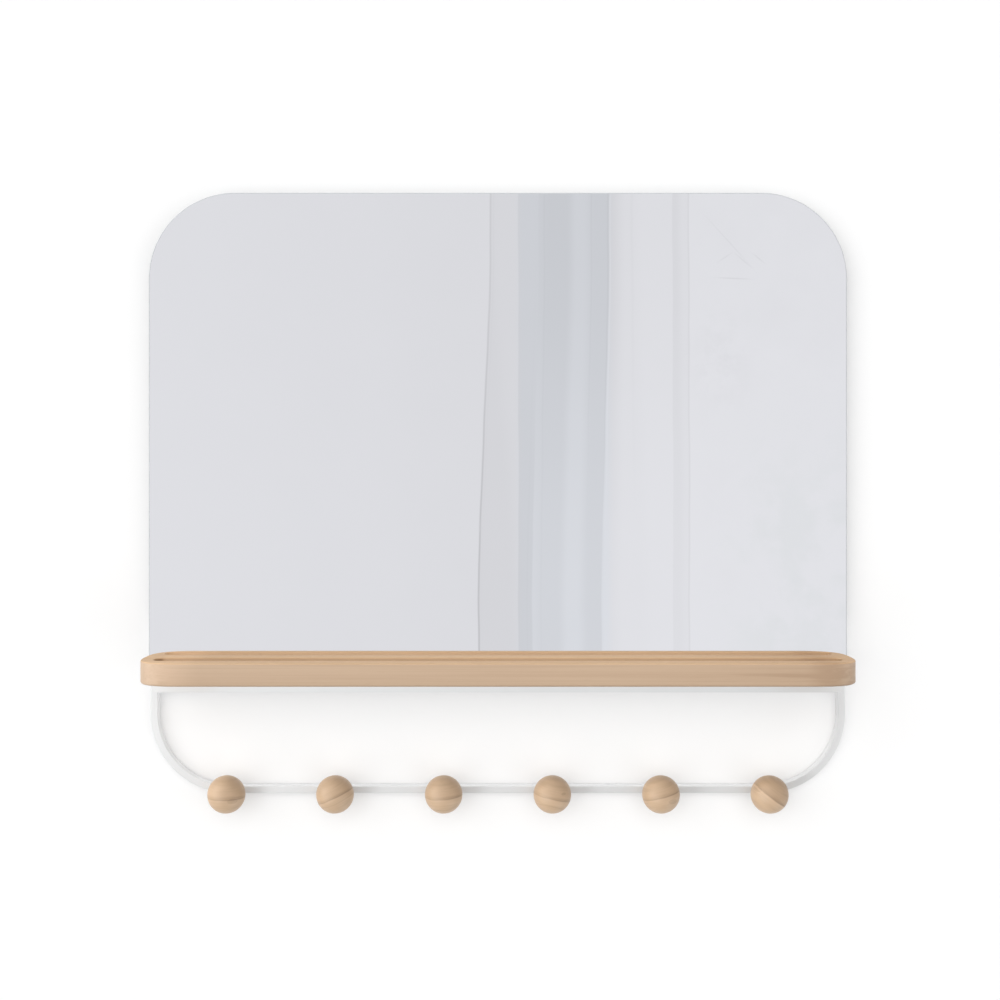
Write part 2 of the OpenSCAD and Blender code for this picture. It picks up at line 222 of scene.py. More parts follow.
class Graph:
    """A node tree that is built by adding nodes."""

    def __init__(self, tree):
        self.tree = tree
        tree.nodes.clear()

    def add(self, kind, settings=None, inputs=None, out=0):
        """Adds one node: its settings first, then the values or links of its sockets."""
        node = self.tree.nodes.new(kind)
        for name, setting in (settings or {}).items():
            setattr(node, name, setting)
        for key, value in (inputs or {}).items():
            if isinstance(value, Value):
                self.tree.links.new(value.socket, node.inputs[key])
            else:
                node.inputs[key].default_value = value
        return Value(self, node.outputs[out] if len(node.outputs) > out else None)

    def place(self, centre=(0.0, 0.0, 0.0), tilt=0.0):
        """Position on the piece, about a centre and tilted by degrees about the Y axis."""
        here = self.add("ShaderNodeTexCoord", out=3)
        points = {"vector_type": "POINT"}
        about = self.add("ShaderNodeMapping", points, {0: here, 1: tuple(-c for c in centre)})
        return self.add("ShaderNodeMapping", points, {0: about, 2: (0.0, math.radians(tilt), 0.0)})

    def parts(self, vector):
        """The three parts of a vector."""
        node = self.add("ShaderNodeSeparateXYZ", inputs={0: vector})
        return [Value(self, output) for output in node.socket.node.outputs]

    def stretched(self, vector, by):
        return self.add("ShaderNodeVectorMath", {"operation": "MULTIPLY"}, {0: vector, 1: by})

    def scaled(self, vector, by):
        return self.add("ShaderNodeVectorMath", {"operation": "SCALE"}, {0: vector, "Scale": by})

    def noise(self, vector, scale, detail=3.0, rough=0.5, twist=0.0):
        sockets = {"Vector": vector, "Scale": scale, "Detail": detail}
        sockets.update({"Roughness": rough, "Distortion": twist})
        return self.add("ShaderNodeTexNoise", inputs=sockets)

    def cells(self, vector, scale):
        return self.add("ShaderNodeTexVoronoi", inputs={"Vector": vector, "Scale": scale})

    def blend(self, factor, first, second, kind="MIX"):
        """Blends two colours."""
        settings = {"data_type": "RGBA", "blend_type": kind}
        return self.add("ShaderNodeMix", settings, {0: factor, 6: rgba(first), 7: rgba(second)}, out=2)

    def bump(self, height, strength, distance):
        sockets = {"Height": height, "Strength": strength, "Distance": distance}
        return self.add("ShaderNodeBump", inputs=sockets)


def rgba(shade):
    """A colour with its alpha, or the value that stands for one."""
    return shade if isinstance(shade, Value) else (*tuple(shade)[:3], 1.0)


def toned(shade, by):
    """A colour made darker or paler, and no paler than white."""
    return tuple(min(1.0, part * by) for part in shade)


def finish(name, sockets_of):
    """A material whose main shader takes the sockets that sockets_of(graph) gives."""
    material = bpy.data.materials.new(name)
    material.use_nodes = True
    graph = Graph(material.node_tree)
    shader = graph.add("ShaderNodeBsdfPrincipled", inputs=sockets_of(graph))
    graph.add("ShaderNodeOutputMaterial", inputs={"Surface": shader})
    return material


# ---------------------------------------------------------------- finishes


def silvered_glass(looks):
    def sockets(graph):
        place = graph.place()
        wiped = graph.noise(graph.stretched(place, (2.0, 1.0, 7.0)), 3.0, 4.0, 0.6)
        return {
            "Base Color": rgba(looks.silver),
            "Metallic": 1.0,
            "Roughness": wiped.ramp(0.45, 0.8, 0.004, 0.02),
        }

    return finish("silvered_glass", sockets)


def polished_edge(looks):
    def sockets(graph):
        place = graph.place()
        ground = graph.noise(place, 900.0, 3.0)
        tint = graph.blend(ground.ramp(0.3, 0.7), looks.glass_edge, toned(looks.glass_edge, 0.93))
        return {
            "Base Color": tint,
            "Roughness": 0.34 + 0.1 * ground,
            "Specular IOR Level": 0.3,
            "Normal": graph.bump(ground, 0.05, 0.0002),
        }

    return finish("polished_edge", sockets)


def shelf_wood(looks, sizes, top):
    """Straight grain along X, with slow bands, fine lines, short flecks and a darker right end.

    Painted light and shade: the upper side and the grooves are painted lighter and warmer, the front
    groove's wall is painted darker with a painted shadow at its left end, and the shelf's left end is
    painted paler as a highlight.
    """
    half = sizes.groove_w / 2

    def sockets(graph):
        place = graph.place()
        x, y, z = graph.parts(place)
        drift = graph.noise(graph.stretched(place, (2.2, 9.0, 9.0)), 1.0, 2.0)
        bands = graph.noise(graph.stretched(place, (1.6, 60.0, 95.0)), 1.0, 3.0, 0.55, 0.4)
        lines = graph.noise(graph.stretched(place, (5.0, 520.0, 760.0)), 1.0, 4.0, 0.62)
        flecks = graph.noise(graph.stretched(place, (90.0, 1500.0, 1900.0)), 1.0, 2.0, 0.5)
        figure = graph.noise(graph.stretched(place, (7.0, 60.0, 190.0)), 1.0, 3.0, 0.6, 0.8)
        right = (x + 0.02 * drift).ramp(0.13, 0.30)
        deep = bands.ramp(0.35, 0.72) * 0.34 + lines.ramp(0.40, 0.75) * 0.30
        deep = deep + right * (0.26 + figure.ramp(0.48, 0.66) * 0.5) + drift.ramp(0.4, 0.8) * 0.16
        deep = deep + (x + 0.01 * figure).ridge(0.272, 0.020) * 0.42
        tone = graph.blend(deep.held(), looks.shelf_pale, looks.shelf_dark)
        tone = graph.blend(flecks.ramp(0.66, 0.80) * 0.45, tone, looks.shelf_dark)
        under = (top - z) / MM  # depth below the shelf's top, in mm
        above_floor = under.ramp(8.5, 7.5)
        between_ends = x.size().ramp(sizes.groove_end + 1.2 * MM, sizes.groove_end + 0.2 * MM)
        front, rear = (
            (y + middle).size().ramp(half + 0.6 * MM, half - 0.4 * MM) * between_ends * above_floor
            for middle in (sizes.front_groove_y, sizes.rear_groove_y)
        )
        # Painted light: the upper side and the grooves' insides are painted lighter and warmer, as if
        # lit from above
        upper = (under.ramp(1.2, 0.3) + front + rear).held()
        tone = graph.blend(upper, tone, (1.14, 1.10, 1.00), "MULTIPLY")
        # Painted shade: the front groove's wall is painted darker, as if in its own shade
        painted_groove_shade = front * under.ramp(0.7, 1.3)
        tone = graph.blend(painted_groove_shade, tone, (0.79, 0.77, 0.75), "MULTIPLY")
        # Painted shadow: the front groove's left end is painted darker still
        shadowed_left_end = x.ramp(-0.2795, -0.2825)
        tone = graph.blend(painted_groove_shade * shadowed_left_end, tone, (0.62, 0.58, 0.54), "MULTIPLY")
        # Painted highlight: the shelf's left end is painted paler
        paler = x.ramp(-0.240, -0.268) * x.ramp(-0.296, -0.276, 0.5, 1.0)
        tone = graph.blend(paler, tone, (1.13, 1.13, 1.14), "MULTIPLY")
        height = lines * 0.6 + flecks * 0.4
        return {
            "Base Color": tone,
            "Roughness": 0.50 + lines * 0.14,
            "Specular IOR Level": 0.12,
            "Coat Weight": (1.0 - upper) * 0.6,
            "Coat Roughness": 0.42,
            "Normal": graph.bump(height, 0.18, 0.0003),
        }

    return finish("shelf_wood", sockets)


class BallGrain:
    """How the grain runs on one ball as seen from the front."""

    def __init__(self, tilt, level, bow, shade_above, glint, left=1.0, knot=None, second=None):
        self.tilt = tilt  # degrees that the main growth line rises to the right
        self.level = level  # height of the line above the ball's middle, in mm
        self.bow = bow  # rise of the line's ends over its middle, in mm
        self.shade_above = shade_above  # darkness of the wood above the line
        self.glint = glint  # paleness of a thin stripe under the line
        self.left = left  # darkness of the line's left end, as a share of its right end's
        self.knot = knot  # x, z and radius in mm of a small knot
        self.second = second  # level and bow of a second, fainter line


BALL_GRAINS = (
    BallGrain(0.0, -1.7, 0.0, 0.14, 0.10, left=0.55, knot=(7.6, -2.9, 2.2)),
    BallGrain(25.0, -0.4, -0.4, 0.14, 0.35, left=0.75, second=(-5.6, 0.8)),
    BallGrain(4.0, -1.2, 0.5, 0.16, 0.20, left=0.45, second=(-11.4, 2.4)),
    BallGrain(-13.0, -0.9, -0.8, 0.12, 0.15, left=0.45, knot=(9.2, 3.2, 1.2), second=(-7.4, -3.4)),
    BallGrain(15.0, 0.6, -0.5, 0.12, 0.25, left=0.8, knot=(8.6, -3.3, 2.0)),
    BallGrain(-37.0, -0.6, 0.6, 0.32, 0.60, left=0.7, knot=(-12.0, 6.2, 1.8)),
)


def ball_wood(looks, number, centre, radius):
    """Turned wood: one dark growth line across the front, with finer lines that run beside it."""
    grain = BALL_GRAINS[number - 1]

    def sockets(graph):
        place = graph.place(centre, grain.tilt)
        x, y, z = graph.parts(place)
        waver = graph.noise(place, 70.0 + number, 2.0) - 0.5
        bowed = z - x * x * (grain.bow * MM / radius**2) + waver * 0.9 * MM
        level = bowed / MM
        streaks = graph.noise(graph.stretched(place, (28.0, 60.0, 620.0)), 1.0, 3.0, 0.6, 0.3)
        wide = graph.stretched(place, (14.0, 30.0, 150.0))
        bands = graph.noise(wide, 1.0 + 0.13 * number, 3.0, 0.5, 0.5)
        pores = graph.noise(graph.stretched(place, (500.0, 900.0, 2600.0)), 1.0, 2.0)
        line = level.ridge(grain.level, 0.80) * 0.46 + level.ridge(grain.level + 0.9, 2.4) * 0.20
        line = line * (x / radius).ramp(-0.8, 0.5, grain.left, 1.0)
        above = level.ramp(grain.level - 0.4, grain.level + 0.6)
        above = above * level.ramp(grain.level, 17.0, 1.0, 0.25)
        below = level.ridge(grain.level - 1.3, 1.3)
        deep = bands.ramp(0.38, 0.74) * 0.22 + streaks.ramp(0.42, 0.75) * 0.16
        deep = deep + above * grain.shade_above + line
        if grain.second:
            other = z - x * x * (grain.second[1] * MM / radius**2) + waver * 0.8 * MM
            deep = deep + (other / MM).ridge(grain.second[0], 1.0) * 0.26
        if grain.knot:
            level_x, _, level_z = graph.parts(graph.place(centre))
            knot_x, knot_z, knot_r = grain.knot
            across = (level_x / MM - knot_x) * 0.55
            up = level_z / MM - knot_z
            ring = (across * across + up * up).root() + waver * 1.2
            knot = ring.ramp(knot_r * 0.4, knot_r, 1.0, 0.0) * 0.30
            knot = knot + ring.ridge(knot_r * 0.85, 0.5) * 0.25
            deep = deep + knot * y.ramp(-0.004, 0.0, 1.0, 0.0)
        tone = graph.blend(deep.held(), looks.ball_pale, looks.ball_dark)
        tone = graph.blend(above, tone, (0.99, 0.97, 0.94), "MULTIPLY")
        glint = (below * grain.glint * 0.5).held()
        tone = graph.blend(glint, tone, toned(looks.ball_pale, 1.18))
        tone = graph.blend(pores.ramp(0.64, 0.80) * 0.22, tone, looks.ball_dark)
        return {
            "Base Color": tone,
            "Roughness": 0.36 + streaks * 0.12,
            "Specular IOR Level": 0.62,
            "Normal": graph.bump(streaks * 0.6 + pores * 0.4, 0.12, 0.0003),
        }

    return finish(f"ball_wood_{number}", sockets)


def powder_coat(looks):
    def sockets(graph):
        place = graph.place()
        orange_peel = graph.noise(place, 620.0, 3.0, 0.55)
        drift = graph.noise(place, 14.0, 2.0)
        tone = graph.blend(drift.ramp(0.3, 0.7), looks.coat, toned(looks.coat, 0.985))
        return {
            "Base Color": tone,
            "Roughness": 0.42 + orange_peel * 0.12,
            "Specular IOR Level": 0.4,
            "Normal": graph.bump(orange_peel, 0.10, 0.0002),
        }

    return finish("powder_coat", sockets)


def plated(name, shade, dull):
    """Bare or plated metal with fine turning marks."""

    def sockets(graph):
        place = graph.place()
        marks = graph.noise(graph.stretched(place, (1.0, 3.0, 1.0)), 1500.0, 2.0)
        stain = graph.noise(place, 160.0, 3.0)
        tone = graph.blend(stain.ramp(0.35, 0.75), shade, toned(shade, 0.82))
        return {
            "Base Color": tone,
            "Metallic": 1.0,
            "Roughness": dull + marks * 0.16,
            "Normal": graph.bump(marks, 0.08, 0.0001),
        }

    return finish(name, sockets)


def soft_black(name, shade, grain, strength):
    """Rubber or foam, with cells or a moulded grain."""

    def sockets(graph):
        place = graph.place()
        pits = graph.cells(place, grain)
        dust = graph.noise(place, 90.0, 3.0)
        tone = graph.blend(dust.ramp(0.45, 0.8) * 0.5, shade, toned(shade, 1.9))
        return {
            "Base Color": tone,
            "Roughness": 0.70 + dust * 0.15,
            "Specular IOR Level": 0.3,
            "Normal": graph.bump(pits, strength, 0.0003),
        }

    return finish(name, sockets)


def woven_film(looks):
    def sockets(graph):
        x, y, z = graph.parts(graph.place())
        weave = (x * 1400.0).sine() * (z * 1400.0).sine()
        tone = graph.blend(weave.ramp(-1.0, 1.0), toned(looks.film, 0.86), looks.film)
        return {
            "Base Color": tone,
            "Roughness": 0.5 + weave * 0.06,
            "Normal": graph.bump(weave, 0.15, 0.0002),
        }

    return finish("woven_film", sockets)


# ---------------------------------------------------------------- shapes


def corner_arc(centre, radius, start, steps):
    """Points of a quarter circle, anticlockwise from start degrees."""
    angles = [math.radians(start + 90.0 * i / steps) for i in range(steps + 1)]
    return [(centre[0] + radius * math.cos(a), centre[1] + radius * math.sin(a)) for a in angles]


def rounded_outline(low, high, radii, steps):
    """Outline from low to high, anticlockwise from the lower right, with a radius for each corner."""
    right, upper = high
    left, lower = low
    corners = ((right, lower, -90), (right, upper, 0), (left, upper, 90), (left, lower, 180))
    points = []
    for (x, y, start), radius in zip(corners, radii):
        centre = (x - radius if x == right else x + radius, y - radius if y == upper else y + radius)
        points += corner_arc(centre, radius, start, steps) if radius > EPS else [(x, y)] * (steps + 1)
    return points


def circle_outline(centre, radius, count):
    """Outline of a circle, anticlockwise."""
    turns = [2 * math.pi * i / count for i in range(count)]
    return [(centre[0] + radius * math.cos(t), centre[1] + radius * math.sin(t)) for t in turns]


def add_ring(bm, points):
    return [bm.verts.new(point) for point in points]


def wall_between(bm, first, second):
    """Faces between two rings of as many points."""
    count = len(first)
    for i in range(count):
        j = (i + 1) % count
        bm.faces.new((first[i], first[j], second[j], second[i]))


def ring_edges(bm, ring):
    """The edges round a ring, made where they are missing."""
    edges = []
    for i, vert in enumerate(ring):
        after = ring[(i + 1) % len(ring)]
        edges.append(bm.edges.get((vert, after)) or bm.edges.new((vert, after)))
    return edges


def fill_between(bm, *rings):
    """Flat face inside the first ring, with the other rings as its holes."""
    edges = [edge for ring in rings for edge in ring_edges(bm, ring)]
    bmesh.ops.triangle_fill(bm, use_beauty=True, use_dissolve=False, edges=edges)


def skin(bm, rings):
    """Faces between each ring and the next."""
    for first, second in zip(rings, rings[1:]):
        wall_between(bm, first, second)


def placed(name, data):
    """A new object of the scene."""
    thing = bpy.data.objects.new(name, data)
    bpy.context.scene.collection.objects.link(thing)
    return thing


def to_mesh(bm, name, sharp=SHARP):
    """Turns the faces outwards, shades them smooth up to an angle in degrees, and gives an object."""
    bmesh.ops.remove_doubles(bm, verts=bm.verts, dist=EPS)
    bmesh.ops.dissolve_degenerate(bm, edges=bm.edges, dist=EPS)
    bmesh.ops.recalc_face_normals(bm, faces=bm.faces)
    if bm.calc_volume(signed=True) < 0:
        bmesh.ops.reverse_faces(bm, faces=bm.faces)
    mesh = bpy.data.meshes.new(name)
    bm.to_mesh(mesh)
    bm.free()
    mesh.shade_smooth()
    mesh.set_sharp_from_angle(angle=math.radians(sharp))
    return placed(name, mesh)


def turned(name, profile, origin=(0, 0, 0), axis="Y", count=48, sharp=SHARP):
    """A turned piece: profile points (radius, distance forwards) spun about an axis through origin.

    The axis points forwards along -Y, or up along Z.
    """
    bm = bmesh.new()
    rings = []
    for radius, along in profile:
        turns = [2 * math.pi * i / count for i in range(count if radius >= EPS else 1)]
        rings.append(add_ring(bm, [spun(origin, axis, radius, turn, along) for turn in turns]))
    for first, second in zip(rings, rings[1:]):
        if len(first) > 1 and len(second) > 1:
            wall_between(bm, first, second)
        elif len(first) != len(second):
            tip, ring = (first, second) if len(first) == 1 else (second, first)
            for i in range(count):
                bm.faces.new((tip[0], ring[i], ring[(i + 1) % count]))
    return to_mesh(bm, name, sharp)


def spun(origin, axis, radius, turn, along):
    """A point of a turned piece."""
    across, up = radius * math.cos(turn), radius * math.sin(turn)
    if axis == "Y":
        return (origin[0] + across, origin[1] - along, origin[2] + up)
    return (origin[0] + across, origin[1] + up, origin[2] + along)


def settle(piece, slot, node, *materials):
    """Gives a finished piece the materials given, and its place in the object."""
    if not piece.data.polygons:
        raise RuntimeError(f"{piece.name} has no faces")
    for material in materials:
        piece.data.materials.append(material)
    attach(piece, BODY)
    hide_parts(node)


def cover(material, *nodes):
    """Gives the nodes that keep their own shape a better finish."""
    for node in nodes:
        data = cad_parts[node].data
        data.materials.clear()
        data.materials.append(material)


FINISHES = {}


def finishes(context):
    """The materials, made once from the settings."""
    if not FINISHES:
        looks = context.scene.wall_mirror_finishes
        FINISHES.update(
            silver=silvered_glass(looks),
            edge=polished_edge(looks),
            shelf=shelf_wood(looks, context.scene.wall_mirror_sizes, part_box("shelf")[1][2]),
            coat=powder_coat(looks),
            zinc=plated("zinc_plate", looks.zinc, 0.28),
            brass=plated("turned_brass", looks.brass, 0.22),
            rubber=soft_black("rubber", looks.rubber, 700.0, 0.12),
            foam=soft_black("foam_tape", looks.foam, 1600.0, 0.5),
            film=woven_film(looks),
        )
    return FINISHES


# ---------------------------------------------------------------- pieces


class WALLMIRROR_OT_glass(bpy.types.Operator):
    """Makes the silvered glass with its round top corners and ground edge"""

    bl_idname = "wall_mirror.glass"
    bl_label = "Mirror glass"

    CORNER_STEPS = 48
    SOFTENING = 0.15 * MM

    def execute(self, context):
        sizes = context.scene.wall_mirror_sizes
        low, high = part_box("mirror_glass")
        back, front = high[1], low[1]
        arris = sizes.arris

        def ring(inset, y):
            start, end = (low[0] + inset, low[2] + inset), (high[0] - inset, high[2] - inset)
            radius = sizes.corner_r - inset
            points = rounded_outline(start, end, (0, radius, radius, 0), self.CORNER_STEPS)
            return add_ring(bm, [(x, y, z) for x, z in points])

        bm = bmesh.new()
        soft = self.SOFTENING
        sections = [
            (soft, back),
            (0.0, back - soft),
            (0.0, front + arris + soft),
            (0.05 * soft, front + arris),
            (arris - soft, front + 0.3 * soft),
            (arris, front),
        ]
        rings = [ring(inset, y) for inset, y in sections]
        skin(bm, rings)
        bm.faces.new(rings[0])
        face = bm.faces.new(rings[-1])
        face.material_index = 1
        piece = to_mesh(bm, "mirror_glass_plate", 20.0)
        for polygon in piece.data.polygons:
            polygon.use_smooth = polygon.material_index == 0
        looks = finishes(context)
        settle(piece, "silvered_glass", "mirror_glass", looks["edge"], looks["silver"])
        return {"FINISHED"}


def superellipse_end(centre_x, reach, side, power, steps):
    """Points of one round end of the shelf: front to rear on the right, rear to front on the left."""
    points = []
    for i in range(steps + 1):
        angle = math.radians(-90 + 180 * i / steps)
        across = abs(math.cos(angle)) ** (2 / power)
        along = math.copysign(abs(math.sin(angle)) ** (2 / power), math.sin(angle))
        points.append((side * (centre_x + reach * across), side * reach * along))
    return points


class WALLMIRROR_OT_shelf(bpy.types.Operator):
    """Makes the wooden shelf with its round ends, two grooves and screw holes"""

    bl_idname = "wall_mirror.shelf"
    bl_label = "Shelf"

    END_POWER = 3.0
    END_STEPS = 96
    EDGE_STEPS = 6
    HOLE_DEPTH = 14.5 * MM
    HOLE_R = 2.1 * MM
    HOLE_STEPS = 16
    GROOVE_FILLET = 1.5 * MM
    GROOVE_STEPS = 12

    def execute(self, context):
        sizes = context.scene.wall_mirror_sizes
        low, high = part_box("shelf")
        middle_y = (low[1] + high[1]) / 2
        half_depth = (high[1] - low[1]) / 2
        centre_x = high[0] - half_depth
        bm = bmesh.new()

        def ring(inset, z):
            reach = half_depth - inset
            right = superellipse_end(centre_x, reach, 1, self.END_POWER, self.END_STEPS)
            left = superellipse_end(centre_x, reach, -1, self.END_POWER, self.END_STEPS)
            return add_ring(bm, [(x, middle_y + y, z) for x, y in right + left])

        quarter = [math.radians(90 * i / self.EDGE_STEPS) for i in range(self.EDGE_STEPS + 1)]
        edge, brim = sizes.shelf_edge, sizes.shelf_top_edge
        lower = [(edge * (1 - math.sin(a)), low[2] + edge * (1 - math.cos(a))) for a in quarter]
        upper = [(brim * (1 - math.cos(a)), high[2] - brim * (1 - math.sin(a))) for a in quarter]
        rings = [ring(inset, z) for inset, z in lower + upper]
        skin(bm, rings)
        middles = (-sizes.rear_groove_y, -sizes.front_groove_y)
        mouths = [self.groove(bm, sizes, y, high[2]) for y in middles]
        fill_between(bm, rings[-1], *mouths)
        holes = [self.screw_hole(bm, x, low[2]) for x in screw_places()]
        fill_between(bm, rings[0], *holes)
        piece = to_mesh(bm, "shelf_board", 28.0)
        settle(piece, "shelf_wood", "shelf", finishes(context)["shelf"])
        return {"FINISHED"}

    def groove(self, bm, sizes, y, top):
        """A groove with a softened upper edge and a filleted floor. Gives its mouth."""
        fillet, rim = self.GROOVE_FILLET, sizes.groove_arris
        steps = [math.radians(30 * i) for i in range(4)]
        sections = [(-rim * (1 - math.sin(a)), top - rim * (1 - math.cos(a))) for a in steps]
        floor = top - sizes.groove_depth
        sections += [(fillet * (1 - math.cos(a)), floor + fillet * (1 - math.sin(a))) for a in steps]

        def ring(inset, z):
            end, half = sizes.groove_end - inset, sizes.groove_w / 2 - inset
            corner = sizes.groove_corner - inset
            points = rounded_outline((-end, y - half), (end, y + half), (corner,) * 4, self.GROOVE_STEPS)
            return add_ring(bm, [(px, py, z) for px, py in points])

        rings = [ring(inset, z) for inset, z in sections]
        skin(bm, rings)
        bm.faces.new(rings[-1])
        return rings[0]

    def screw_hole(self, bm, x, bottom):
        """A blind hole from below for a shelf screw. Gives its mouth."""
        round_hole = circle_outline((x, screw_line()), self.HOLE_R, self.HOLE_STEPS)
        mouth = add_ring(bm, [(px, py, bottom) for px, py in round_hole])
        end = add_ring(bm, [(px, py, bottom + self.HOLE_DEPTH) for px, py in round_hole])
        wall_between(bm, mouth, end)
        bm.faces.new(end)
        return mouth


def screw_line():
    """Distance of the shelf screws from the wall, as a place on Y."""
    low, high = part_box("shelf_screws")
    return (low[1] + high[1]) / 2


def spread(node, count, width):
    """Places on X of a row of like solids in a node, each of them so wide."""
    low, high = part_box(node)
    first, last = low[0] + width / 2, high[0] - width / 2
    return [first + (last - first) * i / (count - 1) for i in range(count)]


def screw_places():
    """Places of the shelf screws on X."""
    width = 2 * bpy.context.scene.wall_mirror_sizes.screw_head_r
    return spread("shelf_screws", BRACKET_FIXINGS, width)


class WALLMIRROR_OT_hoop(bpy.types.Operator):
    """Bends the flat bars of the hoop along their paths with Geometry Nodes"""

    bl_idname = "wall_mirror.hoop"
    bl_label = "Hoop"

    BEND_STEPS = 48

    def execute(self, context):
        sizes = context.scene.wall_mirror_sizes
        tree = bent_bar_tree()
        low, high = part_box("hoop_bar")
        half = sizes.bar_face / 2
        y, level = (low[1] + high[1]) / 2, low[2] + half
        self.bar(context, tree, "hoop_bar", [(low[0], y, level), (high[0], y, level)])
        for name, side in (("hoop_arm_left", -1), ("hoop_arm_right", 1)):
            low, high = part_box(name)
            inner, outer = (low[0], high[0]) if side > 0 else (high[0], low[0])
            arm = outer - side * half
            self.bar(context, tree, name, [(inner, y, level), (arm, y, level), (arm, y, high[2])])
        return {"FINISHED"}

    def bar(self, context, tree, node, path):
        """Sweeps one bar of the hoop along its path, in place of its node."""
        sizes = context.scene.wall_mirror_sizes
        low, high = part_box(node)
        mesh = bpy.data.meshes.new(node)
        mesh.from_pydata(path, [(i, i + 1) for i in range(len(path) - 1)], [])
        piece = placed(f"{node}_steel", mesh)
        values = {
            "Bend radius": sizes.hoop_corner - sizes.bar_face / 2,
            "Bend steps": self.BEND_STEPS,
            "Bar face": sizes.bar_face,
            "Bar depth": high[1] - low[1],
            "Edge radius": sizes.bar_edge,
            "Finish": finishes(context)["coat"],
        }
        bake_nodes(piece, tree, values)
        settle(piece, "white_steel", node)


def new_tree(name, sockets):
    """An empty Geometry Nodes tree with named inputs. Gives its graph and its inputs."""
    tree = bpy.data.node_groups.new(name, "GeometryNodeTree")
    tree.interface.new_socket(name="Geometry", in_out="INPUT", socket_type="NodeSocketGeometry")
    for title, kind in sockets.items():
        tree.interface.new_socket(name=title, in_out="INPUT", socket_type=f"NodeSocket{kind}")
    tree.interface.new_socket(name="Geometry", in_out="OUTPUT", socket_type="NodeSocketGeometry")
    graph = Graph(tree)
    entry = graph.add("NodeGroupInput").socket.node
    inputs = {output.name: Value(graph, output) for output in entry.outputs if output.name}
    return graph, inputs


def bake_nodes(piece, tree, values):
    """Runs a tree on a piece with these inputs, and keeps the result as its plain mesh."""
    modifier = piece.modifiers.new(tree.name, "NODES")
    modifier.node_group = tree
    for item in tree.interface.items_tree:
        if item.in_out == "INPUT" and item.name in values:
            modifier[item.identifier] = values[item.name]
    bpy.context.view_layer.update()
    evaluated = piece.evaluated_get(bpy.context.evaluated_depsgraph_get())
    mesh = bpy.data.meshes.new_from_object(evaluated)
    piece.modifiers.remove(modifier)
    piece.data = mesh
    mesh.shade_smooth()
    mesh.set_sharp_from_angle(angle=math.radians(SHARP))


def bent_bar_tree():
    """Tree that sweeps a flat bar with soft edges along a path with bent corners."""
    graph, inputs = new_tree(
        "bent_flat_bar",
        {
            "Bend radius": "Float",
            "Bend steps": "Int",
            "Bar face": "Float",
            "Bar depth": "Float",
            "Edge radius": "Float",
            "Finish": "Material",
        },
    )
    path = graph.add("GeometryNodeMeshToCurve", inputs={0: inputs["Geometry"]})
    bent = fillet(graph, path, inputs["Bend steps"], inputs["Bend radius"])
    section = graph.add(
        "GeometryNodeCurvePrimitiveQuadrilateral",
        {"mode": "RECTANGLE"},
        {"Width": inputs["Bar depth"], "Height": inputs["Bar face"]},
    )
    soft = fillet(graph, section, 4, inputs["Edge radius"])
    sweep = {"Curve": bent, "Profile Curve": soft, "Fill Caps": True}
    bar = graph.add("GeometryNodeCurveToMesh", inputs=sweep)
    close_tree(graph, bar, inputs["Finish"])
    return graph.tree


def fillet(graph, curve, steps, radius):
    """Rounds a curve's corners."""
    node = graph.tree.nodes.new("GeometryNodeFilletCurve")
    sockets = {socket.name: socket for socket in node.inputs if socket.enabled}
    if "Mode" in sockets:
        sockets["Mode"].default_value = "Poly"
    else:
        node.mode = "POLY"
    values = {"Curve": curve, "Count": steps, "Radius": radius, "Limit Radius": True}
    for socket in node.inputs:
        value = values.get(socket.name)
        if isinstance(value, Value):
            graph.tree.links.new(value.socket, socket)
        elif value is not None:
            socket.default_value = value
    return Value(graph, node.outputs[0])


def close_tree(graph, shape, material):
    """Ends a tree in Realize Instances and Set Material."""
    real = graph.add("GeometryNodeRealizeInstances", inputs={0: shape})
    dressed = graph.add("GeometryNodeSetMaterial", inputs={"Geometry": real, "Material": material})
    graph.add("NodeGroupOutput", inputs={0: dressed})


ROW_TREE = "rows_of_fixings"
ROW_SEED = 4


def row_tree():
    """Tree that sets copies of a template out in rows parallel to the wall."""
    graph, inputs = new_tree(
        ROW_TREE,
        {
            "Template": "Object",
            "Count": "Int",
            "Pitch": "Float",
            "Rows": "Int",
            "Row pitch": "Float",
            "Middle": "Vector",
            "Turn axis": "Vector",
            "Most turn": "Float",
            "Seed": "Int",
            "Finish": "Material",
        },
    )
    width = inputs["Pitch"] * (inputs["Count"] - 1.0)
    height = inputs["Row pitch"] * (inputs["Rows"] - 1.0)
    grid = graph.add(
        "GeometryNodeMeshGrid",
        inputs={
            "Size X": width,
            "Size Y": height,
            "Vertices X": inputs["Count"],
            "Vertices Y": inputs["Rows"],
        },
    )
    stood = graph.add(
        "GeometryNodeTransform",
        inputs={"Geometry": grid, "Translation": inputs["Middle"], "Rotation": (math.pi / 2, 0.0, 0.0)},
    )
    template = graph.add(
        "GeometryNodeObjectInfo", {"transform_space": "ORIGINAL"}, {"Object": inputs["Template"]}
    )
    solid = Value(graph, template.socket.node.outputs["Geometry"])
    share_of_turn = graph.add(
        "FunctionNodeRandomValue",
        {"data_type": "FLOAT"},
        {"Seed": inputs["Seed"]},
    ).socket.node
    turn = Value(graph, share_of_turn.outputs[1]) * inputs["Most turn"]
    turned_by = graph.add(
        "ShaderNodeVectorMath", {"operation": "SCALE"}, {0: inputs["Turn axis"], "Scale": turn}
    )
    sockets = {"Points": stood, "Instance": solid, "Rotation": turned_by}
    copies = graph.add("GeometryNodeInstanceOnPoints", inputs=sockets)
    close_tree(graph, copies, inputs["Finish"])
    return graph.tree


